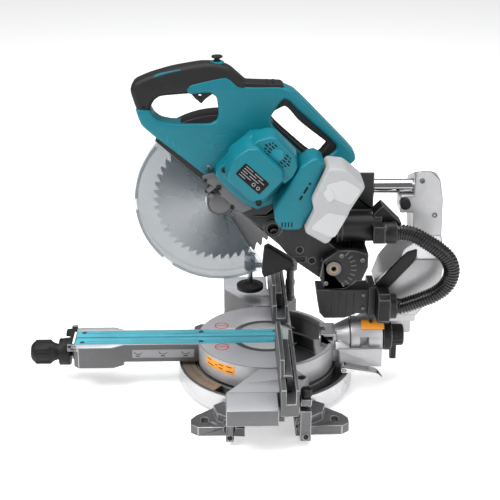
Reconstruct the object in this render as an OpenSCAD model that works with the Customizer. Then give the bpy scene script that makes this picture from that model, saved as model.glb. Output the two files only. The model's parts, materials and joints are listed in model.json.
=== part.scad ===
// Sliding compound mitre saw, bench-top, cordless.
// Origin: the turntable's pivot axis on the bench. +X is the operator's right, +Y is rearwards, +Z is up.
// At rest the head is raised, the mitre and bevel are at 0 and the carriage stands near its rear stop.

/* [Blade] */
// Diameter of the saw blade
blade_d = 216; // [200:1:222]
// Thickness of the blade's steel body
blade_t = 1.8; // [1.4:0.1:2.4]
// Number of teeth
blade_teeth = 48; // [24:4:60]
// Diameter of the blade's bore and of the spindle's end
arbor_d = 30; // [20:1:34]
// Diameter of the clamping flanges
flange_d = 44; // [40:1:46]

/* [Guards] */
// Space between the blade's teeth and the clear guard's rim
guard_gap = 26; // [22:1:28]
// Wall of the clear lower guard
guard_wall = 3; // [2:0.5:4]
// Half width of the clear lower guard
guard_half = 17; // [15:0.5:18]
// Wall of the fixed upper blade case
case_wall = 3; // [2.5:0.5:4]

/* [Turntable and base] */
// Height of the table's top above the bench
table_h = 83; // [78:1:92]
// Radius of the turntable
table_r = 116; // [108:1:120]
// Width of the base's ring outside the turntable
ring_w = 32; // [28:1:40]
// Half length from the pivot to the end of each side table
side_x = 195; // [188:1:205]
// Slot between the two kerf boards
kerf_gap = 4; // [3:0.5:6]
// Width of one kerf board
board_w = 23; // [18:1:24]
// Thickness of the kerf boards
board_t = 5; // [3:0.5:6]
// Distance from the pivot to the end of the front arm
arm_reach = 324; // [300:1:345]
// Width of the front arm's widened end
arm_head_w = 78; // [64:1:90]

/* [Fence and wings] */
// Front face of the fence, behind the pivot
fence_y = 13; // [11:0.5:16]
// Height of the fixed fence above the table
fence_h = 34; // [30:1:38]
// Height of the sliding upper fence
upper_h = 28; // [20:1:34]
// Half of the opening between the two fences
fence_gap = 46; // [42:1:60]
// Length of an extension wing across the saw
wing_w = 57; // [45:1:70]
// Depth of an extension wing, front to rear
wing_l = 80; // [60:1:82]
// Diameter of the rods that carry the wings
rod_d = 10; // [8:0.5:12]

/* [Slide and bevel] */
// Diameter of the two slide poles
pole_d = 24; // [18:1:26]
// Space between the two slide poles
pole_clear = 10.355; // [9.5:0.1:14]
// Radius of the bevel hub
hub_r = 33; // [30:1:36]
// Radial running clearance of shafts in their bores
run_fit = 0.05; // [0.02:0.01:0.1]

/* [Head] */
// Width of the D handle
grip_w = 36; // [30:1:40]
// Wall of the plastic housings
shell = 3; // [2:0.5:4]
// Height of the head's pivot above the bench
pivot_z = 232; // [228:1:238]
// Depth of the motor cover, sideways
motor_depth = 84; // [70:1:100]
// Size of the battery: along its rails, across, and sideways
battery = [114, 62, 70];
// Outer diameter of the dust hose
hose_d = 27; // [24:1:30]

/* [Hidden] */
$fn = 64;
gap = 0.3;
blade_y = -76;
blade_z = 334;
pivot_y = 106;
base_r = table_r + ring_w;
// What stands behind the table's rim is drawn for a rim of this radius, and follows the rim
drawn_r = 116;
rear_shift = table_r - drawn_r;
blade_r = blade_d / 2;
guard_r = blade_r + guard_gap + guard_wall;
case_in = guard_r + 4;
case_out = case_in + case_wall;
case_half = guard_half + 3 + case_wall;
cut_angle = -42;
bevel_z = table_h;
board_edge = kerf_gap / 2 + board_w;
cradle_z = 42.5;
table_drop = 6;
ring_z = 44;
pole_step = (pole_d + pole_clear) * [-0.93147, -0.36383];
pole_x = -44;
pole_z = 336;
pole_front = -118;
pole_rear = 284;
carriage_y = [92, 178];
column_y = [244, 286];
lock_y = 226;
lock_z = 316;
rod_y = [-64, 54];
rod_z = 16;
post_x = side_x + 11;
vise_x = 47 - side_x;
vise_y = 50;
vise_r = 7;
screw_y = -23;
vise_z = 153;
knob_z = 57;
beam_end = arm_reach - 84;
lever_z = table_h + 1.5;
slot_x = [160, 168];
slot_y = 104;
slot_r = 5.5;
pipe_x = 22;
motor_tilt = -43;
motor_y = -18;
motor_z = 405;
motor_box = [92, 92];
battery_tilt = 60;
shell_x = case_half + gap;
shell_out = shell_x + 20;
grip_x = 8;
grip_far = grip_x - grip_w / 2;
grip_near = grip_x + grip_w / 2;
// Route of the dust hose from the lower elbow to the carriage's connector
hose_route = [
    [46, 212, 158], [46, 222, 158], [49, 236, 164], [53, 254, 173], [57, 272, 183], [60, 288, 198],
    [61, 296, 216], [61, 296, 234], [60, 288, 250], [57, 272, 264], [53, 254, 275], [48, 236, 284],
    [46, 218, 288], [46, 206, 288]
];

// ---- helpers ----
// Extrudes an outline drawn in (Y, Z) from x0 to x1
module yz(x0, x1) {
    translate([x0, 0, 0]) rotate([90, 0, 90]) linear_extrude(x1 - x0) children();
}
// Extrudes an outline drawn in (X, Z) from y0 to y1
module xz(y0, y1) {
    translate([0, y1, 0]) rotate([90, 0, 0]) linear_extrude(y1 - y0) children();
}
// Extrudes an outline drawn in (X, Y) from z0 to z1
module xy(z0, z1) {
    translate([0, 0, z0]) linear_extrude(z1 - z0) children();
}
// A box given by its lowest and highest corners
module block(a, b) {
    translate(a) cube(b - a);
}
module rod_x(x0, x1, r, y, z) {
    translate([x0, y, z]) rotate([0, 90, 0]) cylinder(r = r, h = x1 - x0);
}
module rod_y(y0, y1, r, x, z) {
    translate([x, y0, z]) rotate([-90, 0, 0]) cylinder(r = r, h = y1 - y0);
}
module rod_z(z0, z1, r, x, y) {
    translate([x, y, z0]) cylinder(r = r, h = z1 - z0);
}
module mirrored() {
    mirror([1, 0, 0]) children();
}
// Moves to the blade's centre, with the case's cut line level
module at_blade() {
    translate([0, blade_y, blade_z]) rotate([cut_angle, 0, 0]) children();
}
module at_motor() {
    translate([0, motor_y, motor_z]) rotate([motor_tilt, 0, 0]) children();
}
module behind_table() {
    translate([0, rear_shift, 0]) children();
}
module at_battery() {
    translate([0, 86, 358]) rotate([battery_tilt, 0, 0]) children();
}
// A pie slice for cutting rings, from angle a to angle b, in (X, Y)
function pie(r, a, b, steps = 12) = concat([[0, 0]], [
    for (i = [0:steps]) r * [cos(a + (b - a) * i / steps), sin(a + (b - a) * i / steps)]
]);
module ring_part(r_in, r_out, a, b) {
    intersection() {
        difference() {
            circle(r_out);
            circle(r_in);
        }
        polygon(pie(r_out * 1.5, a, b));
    }
}

// ---- base ----
// Half of the right side table, seen from above
module side_table_outline(grow = 0) {
    polygon([
        [table_r - 10, -8], [168 - 195 + side_x, -50], [side_x, -70], [side_x, 46],
        [150, 62], [table_r + 4, 42], [96, 30]
    ]);
}
module foot_outline(s) {
    polygon([
        [100, s * 60], [148, s * 118], [160, s * 126], [176, s * 126], [186, s * 114], [186, s * 72],
        [190, s * 40], [110, s * 40]
    ]);
}
module foot(s) {
    difference() {
        union() {
            xy(0, 16) foot_outline(s);
            xy(10, 30) polygon([[112, s * 50], [140, s * 90], [166, s * 84], [184, s * 60], [184, s * 40]]);
        }
        for (x = slot_x) rod_z(-1, 40, slot_r, x, s * slot_y);
        block([slot_x[0], s * slot_y - slot_r, -1], [slot_x[1], s * slot_y + slot_r, 40]);
    }
}
module side_block() {
    difference() {
        xy(30, table_h) side_table_outline();
        translate([0, 0, -6]) xy(24, table_h) offset(delta = -6) side_table_outline();
        rod_z(ring_z - 4, table_h + 1, table_r + 3, 0, 0);
        // room for what swings past behind the fence
        block([table_r - 20, 22, 29], [side_x + 1, 80, 56]);
    }
    difference() {
        rod_z(57, table_h, vise_r + 2, -vise_x, vise_y);
        rod_z(50, table_h + 1, vise_r, -vise_x, vise_y);
    }
}
module wing_sleeves() {
    for (y = rod_y) rod_x(side_x - 61, side_x - 3, rod_d / 2 + 5, y, rod_z);
}
module half_base() {
    side_block();
    foot(-1);
    foot(1);
    wing_sleeves();
    for (y = rod_y) block([side_x - 55, y - 4, rod_z], [side_x - 9, y + 4, 36]);
}
module base_casting() {
    color("gainsboro") difference() {
        union() {
            difference() {
                rod_z(8, ring_z - 4, base_r, 0, 0);
                rod_z(14, ring_z, base_r - 7, 0, 0);
            }
            rod_z(8, 46, 22, 0, 0);
            difference() {
                rod_z(8, ring_z - 6, table_r + 3, 0, 0);
                rod_z(14, ring_z, table_r - 4, 0, 0);
            }
            half_base();
            mirrored() half_base();
            // high rear walls beside the turntable's neck
            xy(ring_z - 10, table_h - 10) ring_part(table_r + 3, table_r + 11, 6, 17);
            xy(ring_z - 10, table_h - 10) ring_part(table_r + 3, table_r + 11, 163, 174);
        }
        for (s = [-1, 1]) for (y = rod_y) {
            rod_x(s > 0 ? side_x - 75 : -side_x - 5, s > 0 ? side_x + 5 : 75 - side_x, rod_d / 2 + run_fit, y, rod_z);
        }
        rod_z(0, 60, 6 + run_fit, 0, 0);
        rod_z(0, 14, 12, 0, 0);
        for (s = [-1, 1]) rod_z(44, table_h + 1, vise_r, s * vise_x, vise_y);
    }
}
module mitre_scale() {
    color("darksalmon") xy(ring_z - 4, ring_z - 2) ring_part(table_r + 6, base_r - 5, 218, 322);
}
module release_lever() {
    color("silver") difference() {
        union() {
            rod_x(43, 64, 5.5, 128, 48.5);
            yz(45, 64) polygon([[128, 43], [150, 46], [180, 40], [192, 32], [194, 35], [182, 44], [150, 50], [128, 54]]);
        }
        rod_x(40, 70, 3 + run_fit, 128, 48.5);
    }
}
module pivot_bolt() {
    color("dimgray") {
        rod_z(10, 60, 6, 0, 0);
        rod_z(4, 10, 11, 0, 0);
        rod_z(60, 66, 11, 0, 0);
    }
}

// ---- fences ----
fence_top = table_h + fence_h;
fence_back = fence_y + 27;
module fence_section(z0) {
    polygon([
        [fence_y, z0], [fence_back, z0], [fence_back, fence_top], [fence_back - 5, fence_top],
        [fence_back - 5, table_h + 10], [fence_y + 8, table_h + 10], [fence_y + 8, fence_top],
        [fence_y, fence_top]
    ]);
}
module fence() {
    color("silver") difference() {
        union() {
            yz(fence_gap, side_x + 1) fence_section(table_h + 1);
            yz(side_x + 1, side_x + wing_w) fence_section(table_h - 11);
            block([side_x - 47, fence_y, table_h], [side_x + 1, fence_back, table_h + 2]);
        }
        // ribs are left between windows in the rear wall
        for (i = [0:3]) {
            block([64 + 40 * i, fence_back - 6, table_h + 14], [88 + 40 * i, fence_back + 1, fence_top - 6]);
        }
    }
}
module upper_fence() {
    tongue = [fence_y + 11, fence_back - 8];
    color("lightgray") {
        xz(fence_y, fence_y + 7) polygon([
            [fence_gap + 6, fence_top + gap], [side_x + 20, fence_top + gap], [side_x + 12, fence_top + upper_h],
            [fence_gap + 26, fence_top + upper_h]
        ]);
        block([90, fence_y + 6, fence_top + gap], [side_x + 20, tongue[1], fence_top + 5]);
        block([90, tongue[0], table_h + 12], [side_x + 20, tongue[1], fence_top + 5]);
    }
}

// ---- extension wings ----
module wing() {
    wing_x = [side_x + gap, side_x + wing_w];
    front = -70;
    color("silver") difference() {
        union() {
            difference() {
                block([wing_x[0], front, table_h - 27], [wing_x[1], front + wing_l, table_h]);
                block([wing_x[0] - 1, front + 4, table_h - 28], [wing_x[1] - 4, front + wing_l - 4, table_h - 4]);
            }
            // front leg and rear post, down to the rods
            xz(rod_y[0] - 6, rod_y[0] + 6) polygon([
                [wing_x[0] + 2, table_h - 6], [wing_x[0] + 34, table_h - 6], [post_x + 12, 8], [post_x - 8, 8]
            ]);
            block([post_x - 8, rod_y[1] - 9, 8], [post_x + 12, rod_y[1] + 8, table_h - 2]);
            block([post_x - 8, front + wing_l - 4, table_h - 27], [post_x + 12, rod_y[1] - 8, table_h - 14]);
        }
        for (y = rod_y) rod_x(post_x - 10, post_x + 14, rod_d / 2 + 0.01, y, rod_z);
        rod_z(table_h - 24, table_h, 3.5 + run_fit, post_x + 2, rod_y[1]);
        block([post_x - 3, rod_y[1] - 10, table_h - 22], [post_x + 13, rod_y[1] + 9, table_h - 13]);
    }
}
module wing_rods() {
    color("darkgray") for (y = rod_y) rod_x(side_x - 73, post_x + 13, rod_d / 2, y, rod_z);
}
module wing_knob() {
    color("black") {
        rod_z(table_h - 1.5, table_h + 14, 9, post_x + 2, rod_y[1]);
        rod_z(table_h - 21, table_h, 3.5, post_x + 2, rod_y[1]);
    }
}

// ---- vertical vise, on the left side table ----
module vise_post() {
    color("dimgray") {
        rod_z(table_h, table_h + 6, vise_r + 2, vise_x, vise_y);
        rod_z(57, vise_z + 26, vise_r - run_fit, vise_x, vise_y);
    }
}
module vise_arm() {
    color("silver") difference() {
        union() {
            rod_z(vise_z - 10, vise_z + 8, 13, vise_x, vise_y);
            block([vise_x - 6, screw_y, vise_z - 5], [vise_x + 6, vise_y, vise_z + 1]);
            rod_z(vise_z - 10, vise_z + 8, 10, vise_x, screw_y);
        }
        rod_z(vise_z - 20, vise_z + 20, vise_r, vise_x, vise_y);
        rod_z(vise_z - 20, vise_z + 20, 5 + run_fit, vise_x, screw_y);
    }
}
module vise_screw() {
    color("black") {
        rod_z(vise_z - 34, vise_z + 9, 5, vise_x, screw_y);
        rod_z(vise_z + 8.5, vise_z + 20, 10, vise_x, screw_y);
    }
}
module vise_pad() {
    top = vise_z - 34 - gap;
    color("black") {
        rod_z(top - 13, top - 5, 24, vise_x, screw_y);
        translate([vise_x, screw_y, top - 5]) cylinder(r1 = 16, r2 = 8, h = 5);
    }
}

// ---- turntable ----
module slot(z0, z1, half, y0, y1) {
    block([-half, y0, z0], [half, y1, z1]);
}
module turntable() {
    color("silver") difference() {
        union() {
            difference() {
                rod_z(ring_z - 2, table_h, table_r, 0, 0);
                rod_z(ring_z - 3, table_h - table_drop - board_t, table_r - 6, 0, 0);
            }
            rod_z(47, table_h - table_drop, 24, 0, 0);
            // ribs beside the kerf
            for (s = [-1, 1]) block([s * 18 - 3, -table_r + 8, 52], [s * 18 + 3, 40, table_h - board_t - 2]);
            // neck towards the bevel bracket
            block([-30, table_r - 32, 48], [30, table_r + 6, table_h - 12]);
        }
        slot(table_h - board_t, table_h + 1, board_edge + 0.2, -table_r - 1, 29);
        slot(40, table_h + 1, 7, -table_r - 1, -24);
        slot(table_h - 15, table_h + 1, 7, -30, 29);
        // gap in the rim for the bevel bracket's nose
        block([-30.5, table_r - 32, table_h - 12], [30.5, table_r + 14, table_h + 1]);
        // bowl behind the fence
        intersection() {
            rod_z(60, table_h + 1, table_r - 8, 0, 0);
            block([-table_r - 14, 46, 60], [table_r + 14, table_r + 14, table_h + 1]);
        }
        // groove round the middle
        difference() {
            rod_z(table_h - 1, table_h + 1, 58, 0, 0);
            rod_z(table_h - 2, table_h + 2, 50, 0, 0);
        }
        rod_z(40, table_h, 6 + run_fit, 0, 0);
        rod_z(59.8, table_h + 1, 12, 0, 0);
    }
}
module front_arm() {
    color("dimgray") difference() {
        union() {
            // beam
            xy(50, table_h) polygon([
                [-28, -table_r + 6], [28, -table_r + 6], [28, -beam_end - 6], [-28, -beam_end - 6]
            ]);
            // widened end
            xy(44, table_h) polygon([
                [-28, -beam_end], [-arm_head_w / 2, -beam_end - 18], [-arm_head_w / 2, -arm_reach + 8],
                [-arm_head_w / 2 + 8, -arm_reach], [arm_head_w / 2 - 8, -arm_reach],
                [arm_head_w / 2, -arm_reach + 8], [arm_head_w / 2, -beam_end - 18], [28, -beam_end]
            ]);
        }
        rod_z(40, table_h + 1, table_r, 0, 0);
        // hollow below
        block([-24, -beam_end, 40], [24, -table_r + 1, table_h - board_t - 5]);
        block([-arm_head_w / 2 + 5, -arm_reach + 14, 40], [arm_head_w / 2 - 5, -beam_end - 16, table_h - board_t - 5]);
        slot(table_h - board_t, table_h + 1, board_edge + 0.2, -arm_reach + 2, 0);
        slot(40, table_h + 1, 7, -beam_end + 10, 0);
        rod_y(-arm_reach - 1, -arm_reach + 15, 7 + run_fit, 0, knob_z);
    }
    // ears that carry the detent lever
    color("dimgray") for (x = [-38, 33.5]) difference() {
        union() {
            block([x, -arm_reach - 9, lever_z - 8], [x + 4.5, -arm_reach + 2, lever_z + 4]);
            block([x, -arm_reach, lever_z - 8], [x + 4.5, -arm_reach + 12, table_h]);
        }
        rod_x(-40, 40, 3 + run_fit, -arm_reach - 5, lever_z);
    }
}
module kerf_boards() {
    color("paleturquoise") for (s = [-1, 1]) {
        x0 = s > 0 ? kerf_gap / 2 : -board_edge;
        difference() {
            block([x0, -arm_reach + 2.2, table_h - board_t], [x0 + board_w, 28.8, table_h]);
            for (y = [-arm_reach + 14, -table_r + 6, 16]) rod_z(table_h - 3, table_h + 1, 4, s * (board_edge - 7), y);
        }
    }
}
module knob_shaft() {
    color("silver") {
        rod_y(-arm_reach - 62, -arm_reach + 30, 7, 0, knob_z);
        rod_y(-arm_reach - 4, -arm_reach - gap, 14, 0, knob_z);
    }
}
module mitre_knob() {
    color("black") difference() {
        union() {
            translate([0, -arm_reach - 76, knob_z]) rotate([-90, 0, 0]) rotate_extrude() polygon([
                [0, 0], [12, 0], [17, 4], [20, 9], [20, 36], [15, 42], [14, 47], [14, 52], [0, 52]
            ]);
            for (i = [0:5]) rotate_about_knob(i * 60) block([-5, -arm_reach - 68, knob_z + 16], [5, -arm_reach - 42, knob_z + 22]);
            rod_y(-arm_reach - 28, -arm_reach - 5, 23, 0, knob_z);
        }
        rod_y(-arm_reach - 63, -arm_reach, 7 + run_fit, 0, knob_z);
    }
}
module rotate_about_knob(a) {
    translate([0, 0, knob_z]) rotate([0, a, 0]) translate([0, 0, -knob_z]) children();
}
module detent_lever() {
    color("dimgray") {
        rod_x(-37, 37, 3, -arm_reach - 5, lever_z);
        for (x = [-26, 8]) block([x, -arm_reach - 16, lever_z - 3], [x + 18, -arm_reach - 5, lever_z + 3]);
    }
}
module bevel_bracket() {
    bracket_r = hub_r - 3;
    color("silver") difference() {
        union() {
            translate([0, 115, bevel_z]) rotate([-90, 0, 0]) cylinder(r1 = bracket_r - 12, r2 = bracket_r, h = 26);
            xz(drawn_r + gap, 141) polygon([[-30, cradle_z], [41, cradle_z], [41, 63], [24, bevel_z], [-24, bevel_z], [-30, 66]]);
            // cradle under the hub, with its side wall
            block([-30, drawn_r + 4, cradle_z], [41, 194, bevel_z - hub_r - 2]);
            block([hub_r + 3, drawn_r + 4, cradle_z], [41, 194, bevel_z - 6]);
            rod_x(38, 65, 3, 128, 48.5);
            block([-22, 92, 66], [22, 118, 96]);
        }
        // slot through the nose
        block([-30, 94, 82], [30, 112, 90]);
        rod_y(80, 150, 9 + run_fit, 0, bevel_z);
        rod_y(80, 100, 14.5, 0, bevel_z);
        block([-50, 84, 40], [50, drawn_r + 6, table_h - 12]);
    }
}

// ---- bevel arm, column and slide poles ----
module bevel_bolt() {
    color("dimgray") {
        rod_y(100, 196, 9, 0, bevel_z);
        rod_y(96, 100, 14, 0, bevel_z);
    }
}
module bevel_arm() {
    color("silver") difference() {
        union() {
            rod_y(142, 196, hub_r, 0, bevel_z);
            // web up to the column, and its cheek on the left
            yz(-36, 10) polygon([[150, 96], [196, 96], [196, 112], [252, 112], [252, 130], [200, 130], [176, 116]]);
            yz(-42, -29) polygon([[150, 86], [196, 86], [200, 68], [252, 72], [252, 130], [200, 130]]);
        }
        rod_y(140, 260, 9 + run_fit, 0, bevel_z);
        block([hub_r - 12, 158, bevel_z - 8], [hub_r + 1, 172, bevel_z + 10]);
    }
}
module column_face() {
    polygon([
        [column_y[0], 250], [column_y[0], 361], [column_y[0] + 8, 369], [column_y[1] - 16, 369],
        [column_y[1], 354], [column_y[1] + 7, 318], [column_y[1] + 7, 237], [289, 191], [275, 162],
        [252, 130], [226, 130], [200, 160], [182, 178], [194, 208], [228, 244]
    ]);
}
module column_front() {
    polygon([
        [-98, 338], [-98, 300], [-60, 210], [-42, 130], [24, 130], [24, 232], [-16, 258], [-22, 300],
        [-22, 369]
    ]);
}
module column() {
    color("gray") difference() {
        union() {
            intersection() {
                yz(-110, 60) column_face();
                xz(170, 300) column_front();
            }
            block([-62, lock_y - 4, 296], [-22, column_y[0] + 4, 326]);
        }
        difference() {
            intersection() {
                yz(-110, 60) offset(delta = -6) column_face();
                xz(170, 300) offset(delta = -6) column_front();
            }
            for (p = [[0, 0], pole_step]) {
                rod_y(200, 300, pole_d / 2 + 5, pole_x + p[0], pole_z + p[1]);
            }
        }
        for (p = [[0, 0], pole_step]) {
            rod_y(200, pole_rear + 0.2, pole_d / 2 + 0.01, pole_x + p[0], pole_z + p[1]);
        }
        // thin recess that holds the dark rib
        intersection() {
            block([20, 160, 150], [26, 300, 250]);
            yz(20, 26) polygon([[176, 168], [190, 168], [248, 236], [248, 252], [228, 246], [176, 184]]);
        }
        rod_x(-40, 0, 4 + run_fit, lock_y + 2, lock_z);
    }
}
module slide_poles() {
    color("silver") for (p = [[0, 0], pole_step]) {
        rod_y(pole_front, pole_rear, pole_d / 2, pole_x + p[0], pole_z + p[1]);
    }
}
module pole_stop() {
    color("dimgray") difference() {
        hull() for (p = [[0, 0], pole_step]) {
            rod_y(pole_front - 8, pole_front + 8, pole_d / 2 + 3, pole_x + p[0], pole_z + p[1]);
        }
        for (p = [[0, 0], pole_step]) {
            rod_y(pole_front - 0.2, pole_front + 9, pole_d / 2 + 0.01, pole_x + p[0], pole_z + p[1]);
        }
    }
}
duct_x = [-12, 28];
module lower_duct() {
    wall = 3;
    color("dimgray") {
        difference() {
            yz(duct_x[0], duct_x[1]) polygon([
                [82, 178], [88, 138], [96, 128], [130, 128], [150, 136], [168, 136], [168, 180], [82, 180]
            ]);
            yz(duct_x[0] + wall, duct_x[1] - wall) polygon([
                [81, 172], [92, 141], [98, 132], [130, 132], [150, 140], [169, 140], [169, 176], [81, 176]
            ]);
        }
        difference() {
            block([duct_x[0] - 5, 168, 132], [duct_x[1] + 6, 180, 187]);
            block([duct_x[0] + wall, 167, 140], [duct_x[1] - wall, 181, 176]);
        }
    }
}
module duct_elbow() {
    color("black") difference() {
        union() {
            xz(180.1, 200) polygon([[24, 134], [62, 134], [68, 140], [68, 178], [60, 186], [24, 186]]);
            rod_y(198, 212, hose_d / 2 + 7, 46, 158);
        }
        rod_y(186, 213, hose_d / 2 - 2, 46, 158);
        block([23, 179, 144], [27, 196, 172]);
    }
}
module bevel_pointer() {
    color("orange") difference() {
        translate([0, 0, bevel_z]) rotate([0, 34, 0]) translate([0, 0, -bevel_z]) {
            block([-9, 160, bevel_z + hub_r + gap], [9, 198, bevel_z + hub_r + 3]);
        }
        block([-60, 199, 0], [60, 300, 200]);
    }
}
module bevel_lock_knob() {
    color("black") difference() {
        union() {
            rod_y(199, 213, 26, 0, bevel_z);
            rod_y(213, 234, 18, 0, bevel_z);
            block([-6, 213, bevel_z - 44], [6, 224, bevel_z]);
        }
        rod_y(190, 197, 30, 0, bevel_z);
    }
}
module slide_lock_knob() {
    color("black") {
        rod_x(-39, -21.5, 4, lock_y + 2, lock_z);
        rod_x(-21.5, -6, 9, lock_y + 2, lock_z);
    }
}

// ---- carriage ----
pin_r = 8;
arm_hub = [0, 40];
bush_r = pole_d / 2 + 4;
near_side = pole_x + bush_r + 1;
far_side = pole_x + pole_step[0] - bush_r - 3;
module carriage() {
    color("dimgray") difference() {
        union() {
            xz(carriage_y[0], carriage_y[1]) polygon([
                [far_side, pole_z + pole_step[1] - bush_r - 9.5], [near_side, pole_z + pole_step[1] - bush_r - 9.5],
                [near_side, pole_z + bush_r + 14], [far_side, pole_z + pole_step[1] + bush_r - 1.5]
            ]);
            // left lug
            yz(-30, arm_hub[0] - 2) polygon([
                [84, 214], [104, 204], [140, 206], [160, 240], [176, 300], [92, 300], [82, 250]
            ]);
            // web behind the arm's hub
            yz(-12, 58) polygon([[138, 208], [152, 208], [162, 232], [162, 256], [138, 256]]);
            // right lug with the stop sector
            yz(arm_hub[1] + 2, 58) polygon([
                [84, 214], [92, 196], [124, 194], [140, 204], [155, 220], [162, 232], [160, 256], [140, 262],
                [112, 262], [88, 244]
            ]);
        }
        for (p = [[0, 0], pole_step]) {
            rod_y(carriage_y[0] - 1, carriage_y[1] + 1, bush_r, pole_x + p[0], pole_z + p[1]);
        }
        rod_x(-40, 70, pin_r + 0.01, pivot_y, pivot_z);
        block([arm_hub[1] + 1, 94, 198], [60, 122, 206]);
    }
}
module pole_bushings() {
    color("goldenrod") for (p = [[0, 0], pole_step], y = [carriage_y[0], carriage_y[1] - 24]) difference() {
        rod_y(y, y + 24, bush_r, pole_x + p[0], pole_z + p[1]);
        rod_y(y - 1, y + 25, pole_d / 2 + run_fit, pole_x + p[0], pole_z + p[1]);
    }
}
module head_pivot_pin() {
    color("silver") {
        difference() {
            rod_x(-30, 58.3, pin_r, pivot_y, pivot_z);
            rod_x(50, 59, 4, pivot_y, pivot_z);
        }
        difference() {
            rod_x(58.3, 61, 12, pivot_y, pivot_z);
            rod_x(50, 62, 4, pivot_y, pivot_z);
        }
    }
}
module return_spring() {
    color("darkgray") for (i = [0:4]) {
        translate([4 + 6 * i, pivot_y, pivot_z]) rotate([0, 90, 0]) rotate_extrude() {
            translate([12, 0]) circle(2, $fn = 16);
        }
    }
}
module dust_pipe() {
    color("black") difference() {
        union() {
            rod_y(120, 184, 22, pipe_x, 288);
            rod_y(112, 120, 23.5, pipe_x, 288);
            // square outlet, tipped upwards
            translate([14, 196, 302]) rotate([-45, 0, 0]) block([-16, -26, -11], [16, 20, 11]);
            block([-2, 128, 272], [10, 170, 304]);
        }
        rod_y(111, 176, 18, pipe_x, 288);
        translate([14, 196, 302]) rotate([-45, 0, 0]) block([-13, -24, -8], [13, 21, 8]);
    }
}
module hose_connector() {
    color("black") difference() {
        union() {
            rod_y(186, 206, hose_d / 2 + 4, 46, 288);
            block([32, 168, 274], [60, 188, 302]);
        }
        rod_y(182, 207, hose_d / 2 - 2, 46, 288);
        rod_y(160, 190, 22, pipe_x, 288);
        block([0, 160, 260], [30, 216, 330]);
    }
}
module dust_flap() {
    color("black") yz(-10, 12) polygon([[-4, 246], [3, 250], [44, 224], [46, 216], [-4, 196], [-8, 204]]);
}

// ---- head ----
module case_outline(r) {
    intersection() {
        circle(r);
        translate([-r, 8]) square([2 * r, r]);
    }
}
module blade_case() {
    color("dimgray") at_blade() difference() {
        yz(-case_half, case_half) case_outline(case_out);
        yz(-case_half + case_wall, case_half - case_wall) {
            translate([0, -1]) case_outline(case_in);
            translate([-case_in, 0]) square([2 * case_in, 20]);
        }
        // opening for the spindle's nose
        rod_x(0, case_half + 1, 28, 0, 0);
    }
}
nose_end = shell_x + 5;
module gear_housing() {
    color("silver") difference() {
        union() {
            rod_x(10, nose_end, 21, blade_y, blade_z);
            yz(shell_x, shell_out) polygon([
                [-98, 376], [-96, 371], [-86, 368], [-66, 346], [-56, 332], [-40, 319], [-3, 319], [30, 352],
                [-10, 392], [-56, 398], [-86, 375.5]
            ]);
            rod_x(shell_x, shell_out, 20, motor_y, motor_z);
        }
        rod_x(9, nose_end - 4, 9 + run_fit, blade_y, blade_z);
        rod_x(9, 12, 14, blade_y, blade_z);
        rod_x(30, shell_out + 1, 8 + run_fit, motor_y, motor_z);
    }
}
module spindle() {
    color("silver") {
        rod_x(-9, nose_end - 5, 9, blade_y, blade_z);
        difference() {
            rod_x(1, 8, flange_d / 2, blade_y, blade_z);
            rod_x(0, 9, 8, blade_y, blade_z);
        }
        rod_x(-1, 2, arbor_d / 2 - run_fit, blade_y, blade_z);
    }
}
module blade_flange() {
    color("dimgray") {
        difference() {
            rod_x(-6, -1, flange_d / 2, blade_y, blade_z);
            rod_x(-7, 0, 9, blade_y, blade_z);
        }
        difference() {
            rod_x(-13, -9, 11, blade_y, blade_z);
            rod_x(-14, -11, 5, blade_y, blade_z);
        }
        difference() {
            rod_x(-9, -6, 14, blade_y, blade_z);
            rod_x(-10, -5, 9, blade_y, blade_z);
        }
    }
}
// One tooth: a gullet, a steep face and a sloped back
module blade() {
    root_r = blade_r - 9;
    color("lightslategray") translate([0, blade_y, blade_z]) difference() {
        yz(-blade_t / 2, blade_t / 2) polygon([
            for (i = [0:blade_teeth - 1]) let (a = 360 / blade_teeth * i, step = 360 / blade_teeth)
                for (p = [[root_r, 0], [blade_r, 0.04], [blade_r - 1.5, 0.34], [root_r + 2, 0.72]])
                    p[0] * [cos(a + step * p[1]), sin(a + step * p[1])]
        ]);
        rod_x(-5, 5, arbor_d / 2, 0, 0);
    }
}
guard_from = 131 - cut_angle;
guard_to = 300 - cut_angle;
module lower_guard() {
    plate = guard_half - guard_wall;
    color("lightsteelblue", 0.5) at_blade() difference() {
        yz(-guard_half, guard_half) {
            ring_part(26, guard_r, guard_from, guard_to);
            circle(34);
        }
        yz(-guard_half - 1, guard_half + 1) circle(24);
        yz(-guard_half - 1, plate) circle(74);
        yz(-plate, plate) circle(guard_r - guard_wall);
    }
}
module head_arm() {
    color("dimgray") difference() {
        union() {
            yz(case_half + gap, arm_hub[1]) polygon([
                [-40, 318], [0, 288], [38, 242], [84, 208], [104, 206], [126, 220], [128, 244], [100, 268],
                [56, 306], [24, 330], [-2, 316]
            ]);
            rod_x(arm_hub[0], arm_hub[1], 25, pivot_y, pivot_z);
            rod_x(arm_hub[1] - 2, arm_hub[1] + 6, 15, 8, 296);
        }
        rod_x(-1, 45, pin_r + run_fit, pivot_y, pivot_z);
        // recess for the spring round the pin
        rod_x(arm_hub[0] + 1, arm_hub[1] - 8, 15, pivot_y, pivot_z);
        rod_x(arm_hub[1] - 8, arm_hub[1] + 7, 9, 8, 296);
        block([arm_hub[1] - 6, 30, 236], [arm_hub[1] + 1, 62, 244]);
    }
}
module handle_outline() {
    polygon([
        [-202, 474], [-214, 518], [-207, 531], [-184, 541], [-150, 551], [-105, 559], [-80, 558], [-60, 552],
        [-33, 528], [18, 526], [42, 514], [137, 416], [139, 404], [118, 384], [62, 372], [34, 350],
        [-8, 394], [-56, 400], [-87, 377], [-100, 379], [-138, 412], [-181, 447], [-197, 462]
    ]);
}
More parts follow.
